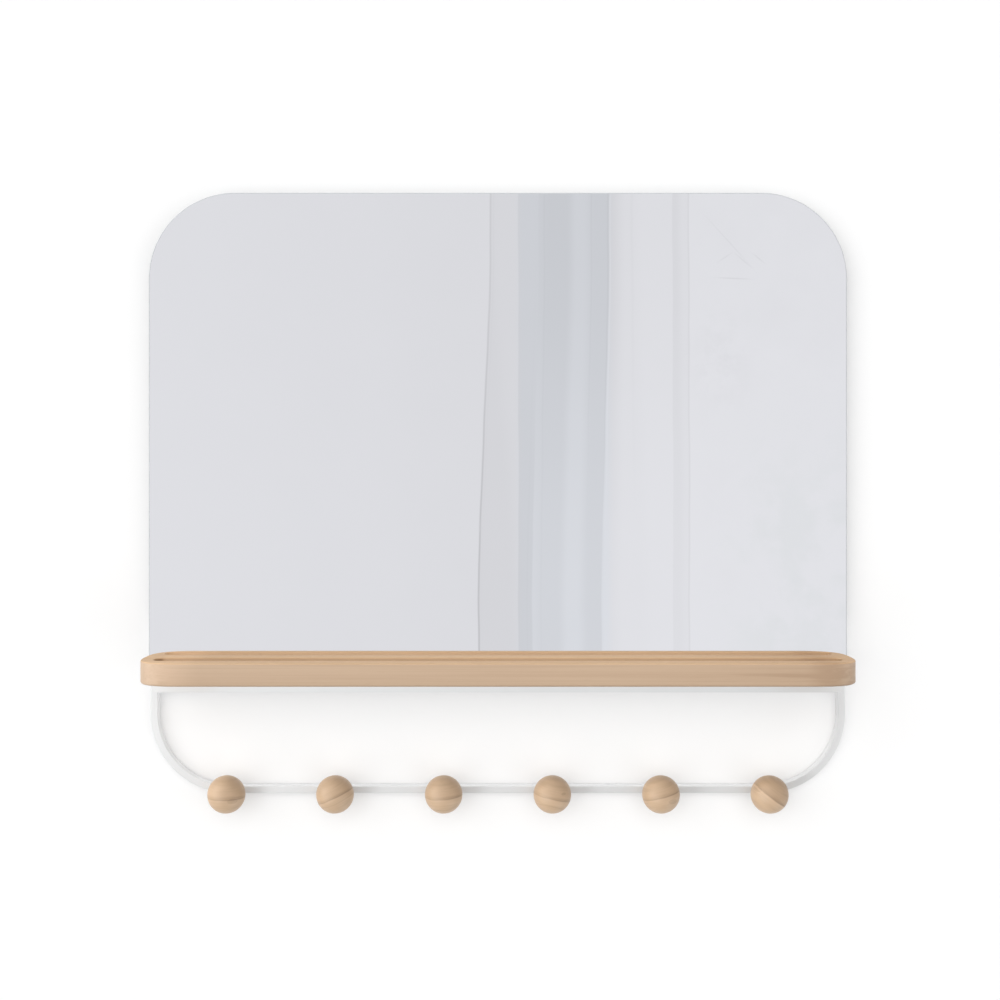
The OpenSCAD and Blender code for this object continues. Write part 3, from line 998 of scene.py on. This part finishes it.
def rows(name, template, material, middle, across, upwards=(1, 0.0), turn=0.0):
    """A piece made of copies of a template, which is given up afterwards.

    across and upwards each hold a count and a pitch. turn is the most that a copy is turned
    about the Z axis, in degrees.
    """
    piece = placed(name, bpy.data.meshes.new(name))
    values = {
        "Template": template,
        "Count": across[0],
        "Pitch": across[1],
        "Rows": upwards[0],
        "Row pitch": upwards[1],
        "Middle": middle,
        "Turn axis": (0.0, 0.0, 1.0),
        "Most turn": math.radians(turn),
        "Seed": ROW_SEED,
        "Finish": material,
    }
    bake_nodes(piece, bpy.data.node_groups.get(ROW_TREE) or row_tree(), values)
    bpy.data.objects.remove(template)
    return piece


def joined(name, pieces):
    """One piece from several, which are given up."""
    bm = bmesh.new()
    for piece in pieces:
        bm.from_mesh(piece.data)
    mesh = pieces[0].data.copy()
    mesh.name = name
    bm.to_mesh(mesh)
    bm.free()
    for piece in pieces:
        bpy.data.objects.remove(piece)
    return placed(name, mesh)


class WALLMIRROR_OT_balls(bpy.types.Operator):
    """Turns the six wooden balls and the six collars behind them"""

    bl_idname = "wall_mirror.balls"
    bl_label = "Ball hooks"

    SEGMENTS = 96
    RINGS = 56
    COLLAR_SEGMENTS = 40
    SEAT_SOFTENING = 0.35 * MM
    COLLAR_SOFTENING = 0.25 * MM

    def execute(self, context):
        sizes = context.scene.wall_mirror_sizes
        looks = context.scene.wall_mirror_finishes
        for number in range(1, HOOKS + 1):
            low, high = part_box(f"ball_{number}")
            radius = (high[0] - low[0]) / 2
            centre = ((low[0] + high[0]) / 2, low[1] + radius, (low[2] + high[2]) / 2)
            profile = self.ball_profile(sizes, radius, high[1] - centre[1])
            ball = turned(f"ball_hook_{number}", profile, centre, count=self.SEGMENTS, sharp=40.0)
            settle(ball, "ball_wood", f"ball_{number}", ball_wood(looks, number, centre, radius))
            self.collar(context, number, centre)
        return {"FINISHED"}

    def ball_profile(self, sizes, radius, seat):
        """Half section from the bore's end, over the seat and round the ball to its front."""
        soft, bore = self.SEAT_SOFTENING, sizes.insert_bore
        profile = [(0.0, sizes.bore_l - seat), (bore, sizes.bore_l - seat), (bore, soft - seat)]
        profile += [(bore + soft * 0.4, -seat), (sizes.ball_seat - soft, -seat)]
        start = math.asin(sizes.ball_seat / radius) + 0.02
        for i in range(self.RINGS + 1):
            angle = start + (math.pi - start) * i / self.RINGS
            profile.append((radius * math.sin(angle), -radius * math.cos(angle)))
        profile[-1] = (0.0, radius)
        return profile

    def collar(self, context, number, centre):
        low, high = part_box(f"collar_{number}")
        outer, depth = (high[0] - low[0]) / 2, high[1] - low[1]
        bore, soft = context.scene.wall_mirror_sizes.stud_bore, self.COLLAR_SOFTENING
        profile = [(bore, 0.0), (outer, 0.0), (outer, depth - soft)]
        profile += [(outer - soft, depth), (bore, depth), (bore, 0.0)]
        origin = (centre[0], high[1], centre[2])
        collar = turned(f"hook_collar_{number}", profile, origin, count=self.COLLAR_SEGMENTS)
        settle(collar, "white_steel", f"collar_{number}", finishes(context)["coat"])


def threaded(start, end, radius, pitch):
    """Profile points of a thread's ridges from one place to another."""
    points = []
    count = int((end - start) / pitch)
    depth = 0.3 * pitch
    for i in range(count):
        points += [(radius - depth, start + pitch * i), (radius, start + pitch * (i + 0.5))]
    return points + [(radius - depth, end)]


def rivet_template(sizes, grip, head_t, tail_t):
    """A blind rivet that points forwards: set tail, shank, and a domed head with its pin's end."""
    head, shank, tail = sizes.rivet_head_r, sizes.shank_r, sizes.rivet_tail_r
    profile = [(0.0, -tail_t), (tail * 0.7, -tail_t), (tail, -tail_t * 0.6), (tail, 0.0)]
    profile += [(shank, 0.0), (shank, grip), (head, grip), (head, grip + head_t * 0.25)]
    for part, rise in ((0.93, 0.5), (0.78, 0.78), (0.58, 0.93), (0.34, 1.0), (0.3, 0.72)):
        profile.append((head * part, grip + head_t * rise))
    profile.append((0.0, grip + head_t * 0.72))
    return turned("template", profile, count=28)


class WALLMIRROR_OT_rivets(bpy.types.Operator):
    """Sets the rivets of the shelf bracket and of the two wall rails"""

    bl_idname = "wall_mirror.rivets"
    bl_label = "Rivets"

    HEAD_T = 0.9 * MM
    TAIL_T = 1.4 * MM

    def execute(self, context):
        low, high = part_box("bracket_rivets")
        level = (low[2] + high[2]) / 2
        piece = self.rivets(context, "bracket_rivet_row", "bracket_rivets", level, BRACKET_FIXINGS)
        settle(piece, "zinc", "bracket_rivets")

        upper_rail = 0.0
        lower_low, lower_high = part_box("lower_rail")
        lower_rail = (lower_low[2] + lower_high[2]) / 2
        rivet_r = context.scene.wall_mirror_sizes.rivet_head_r
        pair = (2, 2 * (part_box("rail_rivets")[1][2] - rivet_r))
        rails = [
            self.rivets(context, "rail_rivet_rows", "rail_rivets", level, RAIL_FIXINGS, pair)
            for level in (upper_rail, lower_rail)
        ]
        settle(joined("rail_rivet_rows", rails), "zinc", "rail_rivets")
        return {"FINISHED"}

    def rivets(self, context, name, node, level, count, upwards=(1, 0.0)):
        """Rivets of a node in a row, or in rows, whose middle is at a level."""
        sizes = context.scene.wall_mirror_sizes
        low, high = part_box(node)
        grip = high[1] - low[1] - self.HEAD_T - self.TAIL_T
        places = spread(node, count, 2 * sizes.rivet_head_r)
        template = rivet_template(sizes, grip, self.HEAD_T, self.TAIL_T)
        middle = (0.0, high[1] - self.TAIL_T, level)
        across = (count, places[1] - places[0])
        return rows(name, template, finishes(context)["zinc"], middle, across, upwards)


class WALLMIRROR_OT_shelf_screws(bpy.types.Operator):
    """Drives the countersunk screws that hold the shelf from below"""

    bl_idname = "wall_mirror.shelf_screws"
    bl_label = "Shelf screws"

    PITCH = 1.6 * MM
    RECESS_R = 2.1 * MM
    RECESS_T = 1.3 * MM
    TIP = 3.0 * MM
    LAND = 0.15 * MM
    MOST_TURN = 300.0

    def execute(self, context):
        sizes = context.scene.wall_mirror_sizes
        low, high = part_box("shelf_screws")
        head, shank, tip = sizes.screw_head_r, sizes.shank_r, self.TIP
        end = high[2] - low[2]
        cone = head - shank
        profile = [(0.0, self.RECESS_T), (self.RECESS_R * 0.45, self.RECESS_T), (self.RECESS_R, 0.0)]
        profile += [(head - self.LAND, 0.0), (head, self.LAND), (shank * 0.85, cone)]
        profile += threaded(cone + 1.0 * MM, end - tip, shank, self.PITCH)
        profile += [(shank * 0.45, end - tip * 0.4), (0.0, end)]
        template = turned("template", profile, axis="Z", count=24)
        places = screw_places()
        middle = (0.0, (low[1] + high[1]) / 2, low[2])
        zinc = finishes(context)["zinc"]
        across = (len(places), places[1] - places[0])
        piece = rows("shelf_screw_row", template, zinc, middle, across, turn=self.MOST_TURN)
        settle(piece, "zinc", "shelf_screws")
        return {"FINISHED"}


class WALLMIRROR_OT_hoop_fixings(bpy.types.Operator):
    """Makes the weld studs and nuts that hold the hoop's tabs"""

    bl_idname = "wall_mirror.hoop_fixings"
    bl_label = "Hoop studs and nuts"

    def execute(self, context):
        sizes = context.scene.wall_mirror_sizes
        zinc = finishes(context)["zinc"]
        low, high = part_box("hoop_studs")
        radius = sizes.shank_r
        across = (2, high[0] - low[0] - 2 * radius)
        upwards = (2, high[2] - low[2] - 2 * radius)
        stud_l = high[1] - low[1]
        middle = (0.0, low[1], (low[2] + high[2]) / 2)
        profile = [(0.0, 0.0), (radius, 0.0), (radius, -0.6 * MM)]
        thread = threaded(0.7 * MM, stud_l - 0.5 * MM, radius, sizes.thread_pitch)
        profile += [(r, -along) for r, along in thread]
        profile += [(radius * 0.6, -stud_l), (0.0, -stud_l)]
        template = turned("template", profile, count=20)
        piece = rows("tab_stud_set", template, zinc, middle, across, upwards)
        settle(piece, "zinc", "hoop_studs")

        low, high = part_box("hoop_nuts")
        middle = (0.0, high[1], (low[2] + high[2]) / 2)
        template = hex_nut(high[1] - low[1], sizes.nut_flats, sizes.stud_bore)
        piece = rows("tab_nut_set", template, zinc, middle, across, upwards)
        settle(piece, "zinc", "hoop_nuts")
        return {"FINISHED"}


def hex_nut(height, flats, bore):
    """A hexagon nut with chamfered corners, its rear face at the origin, pointing forwards."""
    bm = bmesh.new()
    count = 48
    chamfer, mouth = 0.35 * MM, 0.25 * MM
    sixth = math.pi / 3
    flat_r = flats / 2
    corner = flat_r / math.cos(sixth / 2)

    def hexagon(y, most):
        points = []
        for i in range(count):
            turn = 2 * math.pi * i / count
            off = (turn + sixth / 2) % sixth - sixth / 2
            radius = min(flat_r / math.cos(sixth / 2 - abs(off)), most)
            points.append((radius * math.cos(turn), -y, radius * math.sin(turn)))
        return add_ring(bm, points)

    def circle(y, radius):
        return add_ring(bm, [(x, -y, z) for x, z in circle_outline((0, 0), radius, count)])

    rings = [
        circle(0.0, bore + mouth),
        hexagon(0.0, flat_r * 0.98),
        hexagon(chamfer, corner),
        hexagon(height - chamfer, corner),
        hexagon(height, flat_r * 0.98),
        circle(height, bore + mouth),
        circle(height - 0.3 * MM, bore),
        circle(0.3 * MM, bore),
    ]
    skin(bm, rings + rings[:1])
    return to_mesh(bm, "template", 25.0)


class WALLMIRROR_OT_hook_fixings(bpy.types.Operator):
    """Makes the hooks' studs and the brass inserts inside the balls"""

    bl_idname = "wall_mirror.hook_fixings"
    bl_label = "Hook studs and inserts"

    INSERT_PITCH = 1.25 * MM

    def execute(self, context):
        sizes = context.scene.wall_mirror_sizes
        looks = finishes(context)
        low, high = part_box("hook_studs")
        radius = sizes.shank_r
        across = (HOOKS, (high[0] - low[0] - 2 * radius) / (HOOKS - 1))
        level = (low[2] + high[2]) / 2
        stud_l = high[1] - low[1]
        profile = [(0.0, 0.0), (radius * 0.7, 0.0)]
        profile += threaded(0.5 * MM, stud_l - 0.5 * MM, radius, sizes.thread_pitch)
        profile += [(radius * 0.7, stud_l), (0.0, stud_l)]
        template = turned("template", profile, count=16)
        piece = rows("hook_stud_row", template, looks["zinc"], (0.0, high[1], level), across)
        settle(piece, "zinc", "hook_studs")

        low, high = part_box("ball_inserts")
        outer, depth, bore = sizes.insert_r, high[1] - low[1], sizes.stud_bore
        profile = [(bore, 0.0), (outer * 0.9, 0.0)]
        profile += threaded(0.4 * MM, depth - 0.4 * MM, outer, self.INSERT_PITCH)
        profile += [(outer * 0.9, depth), (bore, depth), (bore, 0.0)]
        template = turned("template", profile, count=24)
        piece = rows("insert_row", template, looks["brass"], (0.0, high[1], level), across)
        settle(piece, "brass", "ball_inserts")
        return {"FINISHED"}


class WALLMIRROR_OT_bumpers(bpy.types.Operator):
    """Moulds the two rubber bumpers that rest on the wall"""

    bl_idname = "wall_mirror.bumpers"
    bl_label = "Wall bumpers"

    ROUNDOVER = 0.7 * MM
    DIMPLE = 0.35 * MM

    def execute(self, context):
        low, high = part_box("wall_bumpers")
        radius = (high[2] - low[2]) / 2
        depth = high[1] - low[1]
        soft = self.ROUNDOVER
        profile = [(0.0, depth), (radius, depth), (radius, soft)]
        for step in (30, 60, 90):
            a = math.radians(step)
            profile.append((radius - soft * (1 - math.cos(a)), soft * (1 - math.sin(a))))
        profile += [(radius * 0.45, 0.0), (radius * 0.38, self.DIMPLE), (0.0, self.DIMPLE)]
        template = turned("template", profile)
        across = (2, high[0] - low[0] - 2 * radius)
        middle = (0.0, high[1], (low[2] + high[2]) / 2)
        piece = rows("bumper_pair", template, finishes(context)["rubber"], middle, across)
        settle(piece, "rubber", "wall_bumpers")
        return {"FINISHED"}


class WALLMIRROR_OT_plain_nodes(bpy.types.Operator):
    """Finishes the sheet, rail, tape and pad pieces that keep their own shape"""

    bl_idname = "wall_mirror.plain_nodes"
    bl_label = "Plates, rails, tapes and pads"

    COVERS = {
        "coat": (
            "back_plate",
            "shelf_bracket",
            "hoop_tab_left",
            "hoop_tab_right",
            "hanger_rail",
            "lower_rail",
        ),
        "foam": ("mounting_tapes",),
        "rubber": ("glass_pads",),
        "film": ("safety_film",),
    }
    # The mirror shows nothing of the shelf, nor of what holds it
    NOT_REFLECTED = ("shelf_board", "shelf_bracket", "shelf_screw_row", "bracket_rivet_row")

    def execute(self, context):
        looks = finishes(context)
        for name, nodes in self.COVERS.items():
            cover(looks[name], *nodes)
        for name in self.NOT_REFLECTED:
            bpy.data.objects[name].visible_glossy = False
        return {"FINISHED"}


# ---------------------------------------------------------------- stage


class WALLMIRROR_OT_stage(bpy.types.Operator):
    """Sets up the wall, the room that the mirror shows, the lamps and the camera"""

    bl_idname = "wall_mirror.stage"
    bl_label = "Stage"

    def execute(self, context):
        settings = context.scene.wall_mirror_stage
        wall = self.wall(settings)
        self.room(settings)
        self.sky(context, settings)
        self.lamps(settings, wall)
        self.camera(context, settings)
        context.scene.view_settings.view_transform = "Standard"
        return {"FINISHED"}

    WHITE = (1.0, 1.0, 1.0, 1.0)
    WALL_REACH = 12.0
    WALL_GAP = 0.4 * MM
    ROOM_REACH, ROOM_RISE, ROOM_Y = 4.5, 3.0, -3.2

    def wall(self, settings):
        """A pale wall that keeps the object's shadow. It is open from behind, so the back shows."""
        wall = self.upright("wall", self.WALL_REACH, self.WALL_REACH, self.WALL_GAP, 0.0)
        material = bpy.data.materials.new("wall_paint")
        material.use_nodes = True
        graph = Graph(material.node_tree)
        paint = graph.add("ShaderNodeBsdfDiffuse", inputs={"Color": rgba(settings.wall)})
        gone = graph.add("ShaderNodeBsdfTransparent")
        behind = graph.add("ShaderNodeNewGeometry", out=6)
        shader = graph.add("ShaderNodeMixShader", inputs={0: behind, 1: paint, 2: gone})
        graph.add("ShaderNodeOutputMaterial", inputs={"Surface": shader})
        wall.data.materials.append(material)
        wall.visible_diffuse = False
        wall.visible_shadow = False
        return wall

    def upright(self, name, reach, rise, y, level, faces_back=False):
        """A flat sheet of the stage, parallel to the wall."""
        low, high = level - rise, level + rise
        corners = [(-reach, y, low), (reach, y, low), (reach, y, high), (-reach, y, high)]
        mesh = bpy.data.meshes.new(name)
        mesh.from_pydata(corners, [], [(0, 3, 2, 1) if faces_back else (0, 1, 2, 3)])
        sheet = placed(name, mesh)
        sheet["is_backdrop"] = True
        return sheet

    def room(self, settings):
        """The pale room behind the camera that only the mirror shows: a glowing panel on which the light
        of a wall and a hung curtain, and the shade of the curtain's folds, are painted.
        """
        level = -settings.eye_drop
        room = self.upright("room", self.ROOM_REACH, self.ROOM_RISE, self.ROOM_Y, level, faces_back=True)
        material = bpy.data.materials.new("room_light")
        material.use_nodes = True
        graph = Graph(material.node_tree)
        glow = graph.add("ShaderNodeEmission", inputs={"Color": self.room_tone(graph), "Strength": 1.0})
        graph.add("ShaderNodeOutputMaterial", inputs={"Surface": glow})
        room.data.materials.append(material)
        for ray in ("camera", "diffuse", "shadow", "transmission", "volume_scatter"):
            setattr(room, f"visible_{ray}", False)

    PLASTER = (0.818, 0.820, 0.832)
    SHADED_FOLDS = (0.803, 0.822, 0.846)
    DAMP_PLASTER = (0.800, 0.822, 0.818)
    # Steps in the light across the curtain, in metres on the panel: place at the top and at the
    # bottom of what the mirror shows, width of the step, and change of the light there
    FOLDS = (
        (-0.020, -0.062, 0.004, -0.060, -0.065),
        (-0.020, 0.060, 0.060, 0.020, 0.030),
        (0.065, 0.064, 0.005, -0.075, -0.090),
        (0.130, 0.108, 0.006, -0.030, 0.078),
        (0.150, 0.125, 0.030, -0.025, -0.022),
        (0.235, 0.205, 0.036, 0.078, 0.062),
        (0.290, 0.268, 0.040, -0.050, -0.060),
        (0.354, 0.328, 0.004, 0.075, 0.100),
        (0.380, 0.370, 0.060, 0.100, 0.040),
        (0.440, 0.470, 0.050, 0.020, 0.010),
        (0.553, 0.554, 0.004, -0.060, -0.040),
        (0.575, 0.585, 0.030, 0.050, 0.025),
        (0.606, 0.608, 0.004, 0.035, 0.030),
    )
    # Thin seams and creases: place at the top and at the bottom, half width, and change of the
    # light there
    CREASES = (
        (-0.022, -0.061, 0.0050, -0.15, -0.22),
        (-0.012, -0.052, 0.0035, -0.02, -0.01),
        (0.148, 0.136, 0.0045, -0.034, -0.020),
        (0.122, 0.092, 0.0040, -0.004, -0.018),
        (0.297, 0.278, 0.0040, -0.045, 0.0),
        (0.349, 0.331, 0.0045, -0.05, -0.02),
        (0.356, 0.338, 0.0040, 0.06, 0.0),
        (0.425, 0.432, 0.0070, -0.022, 0.0),
        (0.604, 0.605, 0.0045, -0.055, -0.055),
    )
    # Hair cracks in the far plaster: the two ends as x and z, and change of the light
    CRACKS = (
        ((0.640, 0.690), (0.815, 0.500), -0.055),
        ((0.680, 0.480), (0.810, 0.474), -0.110),
        ((0.690, 0.525), (0.745, 0.560), -0.070),
        ((0.745, 0.560), (0.810, 0.505), -0.080),
        ((0.800, 0.560), (0.850, 0.520), -0.080),
    )

    CRACK_HALF_WIDTH = 0.0035
    ROOM_TOP, ROOM_BOTTOM = 0.678, -0.54  # levels on the panel that the mirror shows to the camera
    ROOM_EDGE = (1.3, 4.4)  # distances from the middle over which the panel fades to plain light

    def room_tone(self, graph):
        """Pale wall on the left, and to the right the folds of a hung curtain."""
        place = graph.place()
        x, y, z = graph.parts(place)
        down = z.ramp(self.ROOM_TOP, self.ROOM_BOTTOM)
        sway = (graph.noise(graph.stretched(place, (0.0, 0.0, 1.0)), 2.2, 2.0) - 0.5) * 0.014
        light = 1.0 + down * 0.016
        light = light + x.ramp(-1.1, -0.45, 0.020, 0.0) + x.ramp(-0.45, -0.08, 0.0, -0.018)
        for top, low, width, change, low_change in self.FOLDS:
            edge = x - (top + (low - top) * down + sway)
            step = edge.ramp(-width / 2, width / 2)
            light = light * (1.0 + step * (change + (low_change - change) * down))
        for top, low, half, change, low_change in self.CREASES:
            seam = (x - (top + (low - top) * down + sway)).ridge(0.0, half)
            light = light * (1.0 + seam * (change + (low_change - change) * down))
        for (x1, z1), (x2, z2), change in self.CRACKS:
            long = math.hypot(x2 - x1, z2 - z1)
            ahead, aside = ((x2 - x1) / long, (z2 - z1) / long), (-(z2 - z1) / long, (x2 - x1) / long)
            along = (x - x1) * ahead[0] + (z - z1) * ahead[1]
            off = (x - x1) * aside[0] + (z - z1) * aside[1] + sway * 0.6
            crack = off.ridge(0.0, self.CRACK_HALF_WIDTH) * along.ridge(long / 2, long * 0.6)
            light = light * (1.0 + crack * change)
        cloud = graph.noise(place, 5.0, 4.0, 0.6)
        far = x.ramp(0.58, 0.68)
        patch = x.ramp(0.55, 0.9) * z.ramp(0.25, -0.35) * cloud.ramp(0.42, 0.62)
        grime = graph.noise(place, 16.0, 5.0, 0.7).ramp(0.38, 0.62)
        smudge = x.ridge(0.70, 0.14) * z.ridge(0.22, 0.24) * grime
        light = light * (1.0 + (cloud - 0.5) * (0.02 + far * 0.05) - patch * 0.04 - smudge * 0.035)
        shaded = x.ramp(0.05, 0.08) * x.ramp(0.37, 0.34)
        tone = graph.blend(shaded, self.PLASTER, self.SHADED_FOLDS)
        tone = graph.blend(patch * 0.5, tone, self.DAMP_PLASTER)
        return graph.blend(x.size().ramp(*self.ROOM_EDGE), graph.scaled(tone, light), self.WHITE)

    def sky(self, context, settings):
        """Even light from all sides, white where the camera, a mirror or glass sees it."""
        world = context.scene.world or bpy.data.worlds.new("sky")
        context.scene.world = world
        world.use_nodes = True
        graph = Graph(world.node_tree)
        path = graph.add("ShaderNodeLightPath").socket.node
        seen = Value(graph, path.outputs["Is Camera Ray"]) + Value(graph, path.outputs["Is Glossy Ray"])
        seen = (seen + Value(graph, path.outputs["Is Transmission Ray"])).held()
        strength = settings.world + seen * (1.0 - settings.world)
        light = graph.add("ShaderNodeBackground", inputs={"Color": self.WHITE, "Strength": strength})
        graph.add("ShaderNodeOutputWorld", inputs={"Surface": light})

    # Soft lamps: what they light, degrees to the left of the front, degrees above level, and how
    # bright a white face turned to them is
    LAMPS = (
        ("wall", 0, 14, 0.240),
        ("wall", 40, 14, 0.158),
        ("wall", 40, -12, 0.130),
        ("wall", -40, -12, 0.146),
        ("shelf", 0, 45, 0.440),
        ("shelf", 0, 80, 0.240),
        ("shelf", 40, 14, 0.300),
        ("shelf", 80, -12, 0.460),
        ("shelf", -80, -12, 0.230),
        ("ball", 40, -12, 0.395),
        ("ball", 80, 14, 0.323),
        ("ball", -80, -45, 0.155),
        ("ball", 40, 45, 0.180),
        ("ball", 80, 45, 0.146),
        ("ball", 0, 45, 0.080),
        ("ball", -80, -12, 0.050),
        ("steel", 80, 45, 0.280),
        ("steel", 0, 80, 0.360),
        ("steel", -80, -12, 0.400),
        ("steel", 0, 14, 0.135),
        ("back", 180, 0, 0.450),
    )
    LAMP_WIDTH = 50.0  # degrees
    NEAR_LAMP_WATTS = 24.0
    NEAR_LAMP_RADIUS = 0.3
    NEAR_LAMP_PLACE = (-0.9, -1.1, -0.6)

    def lamps(self, settings, wall):
        """Soft lamps, in one set for each of the wall, the shelf, the balls and the other pieces."""
        sets = self.lit_sets(wall)
        for kind, left, up, level in self.LAMPS:
            left, up = math.radians(left), math.radians(up)
            ahead = math.cos(up)
            towards = Vector((-math.sin(left) * ahead, -math.cos(left) * ahead, math.sin(up)))
            data = bpy.data.lights.new(f"{kind}_lamp", "SUN")
            data.energy = math.pi * level * getattr(settings, f"{kind}_light")
            data.angle = math.radians(self.LAMP_WIDTH)
            if kind == "back":
                self.only_direct(data)
            lamp = self.place_lamp(data, sets, kind)
            lamp.rotation_euler = towards.to_track_quat("Z", "Y").to_euler()
        # One lamp stands near on the left, so the steel is a little darker to the right
        data = bpy.data.lights.new("near_lamp", "POINT")
        data.energy = self.NEAR_LAMP_WATTS * settings.steel_light
        data.shadow_soft_size = self.NEAR_LAMP_RADIUS
        self.place_lamp(data, sets, "steel").location = self.NEAR_LAMP_PLACE

    def lit_sets(self, wall):
        """What each kind of lamp lights, and under "low" the pieces that stand below the shelf."""
        kinds = ("wall", "shelf", "ball", "steel", "low")
        sets = {kind: bpy.data.collections.new(f"{kind}_set") for kind in kinds}
        sets["wall"].objects.link(wall)
        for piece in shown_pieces():
            kind = "steel"
            if piece.name.startswith(("shelf_board", "ball_hook")):
                kind = piece.name.split("_")[0]
            sets[kind].objects.link(piece)
            if piece.name.startswith(("ball", "hoop", "hook")):
                sets["low"].objects.link(piece)
        return sets

    def only_direct(self, data):
        """Keeps a lamp's light from going on to the wall after it has met the object.

        Light that comes straight from a lamp has a ray depth of 2 at most here.
        """
        data.use_nodes = True
        graph = Graph(data.node_tree)
        path = graph.add("ShaderNodeLightPath").socket.node
        first = Value(graph, path.outputs["Ray Depth"]).ramp(2.2, 2.8, 1.0, 0.0)
        glow = graph.add("ShaderNodeEmission", inputs={"Color": self.WHITE, "Strength": first})
        graph.add("ShaderNodeOutputLight", inputs={"Surface": glow})

    def place_lamp(self, data, sets, kind):
        """Puts a lamp in the scene that lights one set of pieces, or all of them.

        The shelf throws no shadow on the steel below it, whose light comes in from the open front.
        Only the lamps of the shelf and the balls show in reflections. They don't light the glass,
        so no lamp shows in the mirror.
        """
        lamp = placed(data.name, data)
        if kind in sets:
            lamp.light_linking.receiver_collection = sets[kind]
        if kind == "steel":
            lamp.light_linking.blocker_collection = sets["low"]
        lamp.visible_glossy = kind in ("shelf", "ball")
        return lamp

    SENSOR_WIDTH = 36.0
    SHIFT = (0.002, -0.020)

    def camera(self, context, settings):
        """A level camera that looks straight at the wall."""
        data = bpy.data.cameras.new("camera")
        data.lens = settings.lens
        data.sensor_width = self.SENSOR_WIDTH
        data.shift_x, data.shift_y = self.SHIFT
        data.clip_start = 0.01
        camera = placed("camera", data)
        camera.location = (0.0, -settings.eye_y, -settings.eye_drop)
        camera.rotation_euler = (math.pi / 2, 0.0, 0.0)
        context.scene.camera = camera


# ---------------------------------------------------------------- add-on

STEPS = (
    WALLMIRROR_OT_glass,
    WALLMIRROR_OT_shelf,
    WALLMIRROR_OT_hoop,
    WALLMIRROR_OT_balls,
    WALLMIRROR_OT_rivets,
    WALLMIRROR_OT_shelf_screws,
    WALLMIRROR_OT_hoop_fixings,
    WALLMIRROR_OT_hook_fixings,
    WALLMIRROR_OT_bumpers,
    WALLMIRROR_OT_plain_nodes,
    WALLMIRROR_OT_stage,
)


class WALLMIRROR_PT_panel(bpy.types.Panel):
    """Lists the pieces and the settings"""

    bl_idname = "WALLMIRROR_PT_panel"
    bl_label = "Wall mirror"
    bl_space_type = "VIEW_3D"
    bl_region_type = "UI"
    bl_category = "Wall mirror"

    def draw(self, context):
        for group in ("wall_mirror_sizes", "wall_mirror_finishes", "wall_mirror_stage"):
            settings = getattr(context.scene, group)
            box = self.layout.box()
            for name in settings.bl_rna.properties.keys():
                if name not in ("rna_type", "name"):
                    box.prop(settings, name)
        for step in STEPS:
            self.layout.operator(step.bl_idname)


GROUPS = {
    "wall_mirror_sizes": MirrorSizes,
    "wall_mirror_finishes": MirrorFinishes,
    "wall_mirror_stage": MirrorStage,
}


def register():
    for group in GROUPS.values():
        bpy.utils.register_class(group)
    for step in (*STEPS, WALLMIRROR_PT_panel):
        bpy.utils.register_class(step)
    for name, group in GROUPS.items():
        setattr(bpy.types.Scene, name, bpy.props.PointerProperty(type=group))


def unregister():
    for name in GROUPS:
        delattr(bpy.types.Scene, name)
    for step in (*STEPS, WALLMIRROR_PT_panel):
        bpy.utils.unregister_class(step)
    for group in GROUPS.values():
        bpy.utils.unregister_class(group)


def main():
    register()
    for step in STEPS:
        family, action = step.bl_idname.split(".")
        getattr(getattr(bpy.ops, family), action)()


if __name__ == "__main__":
    main()
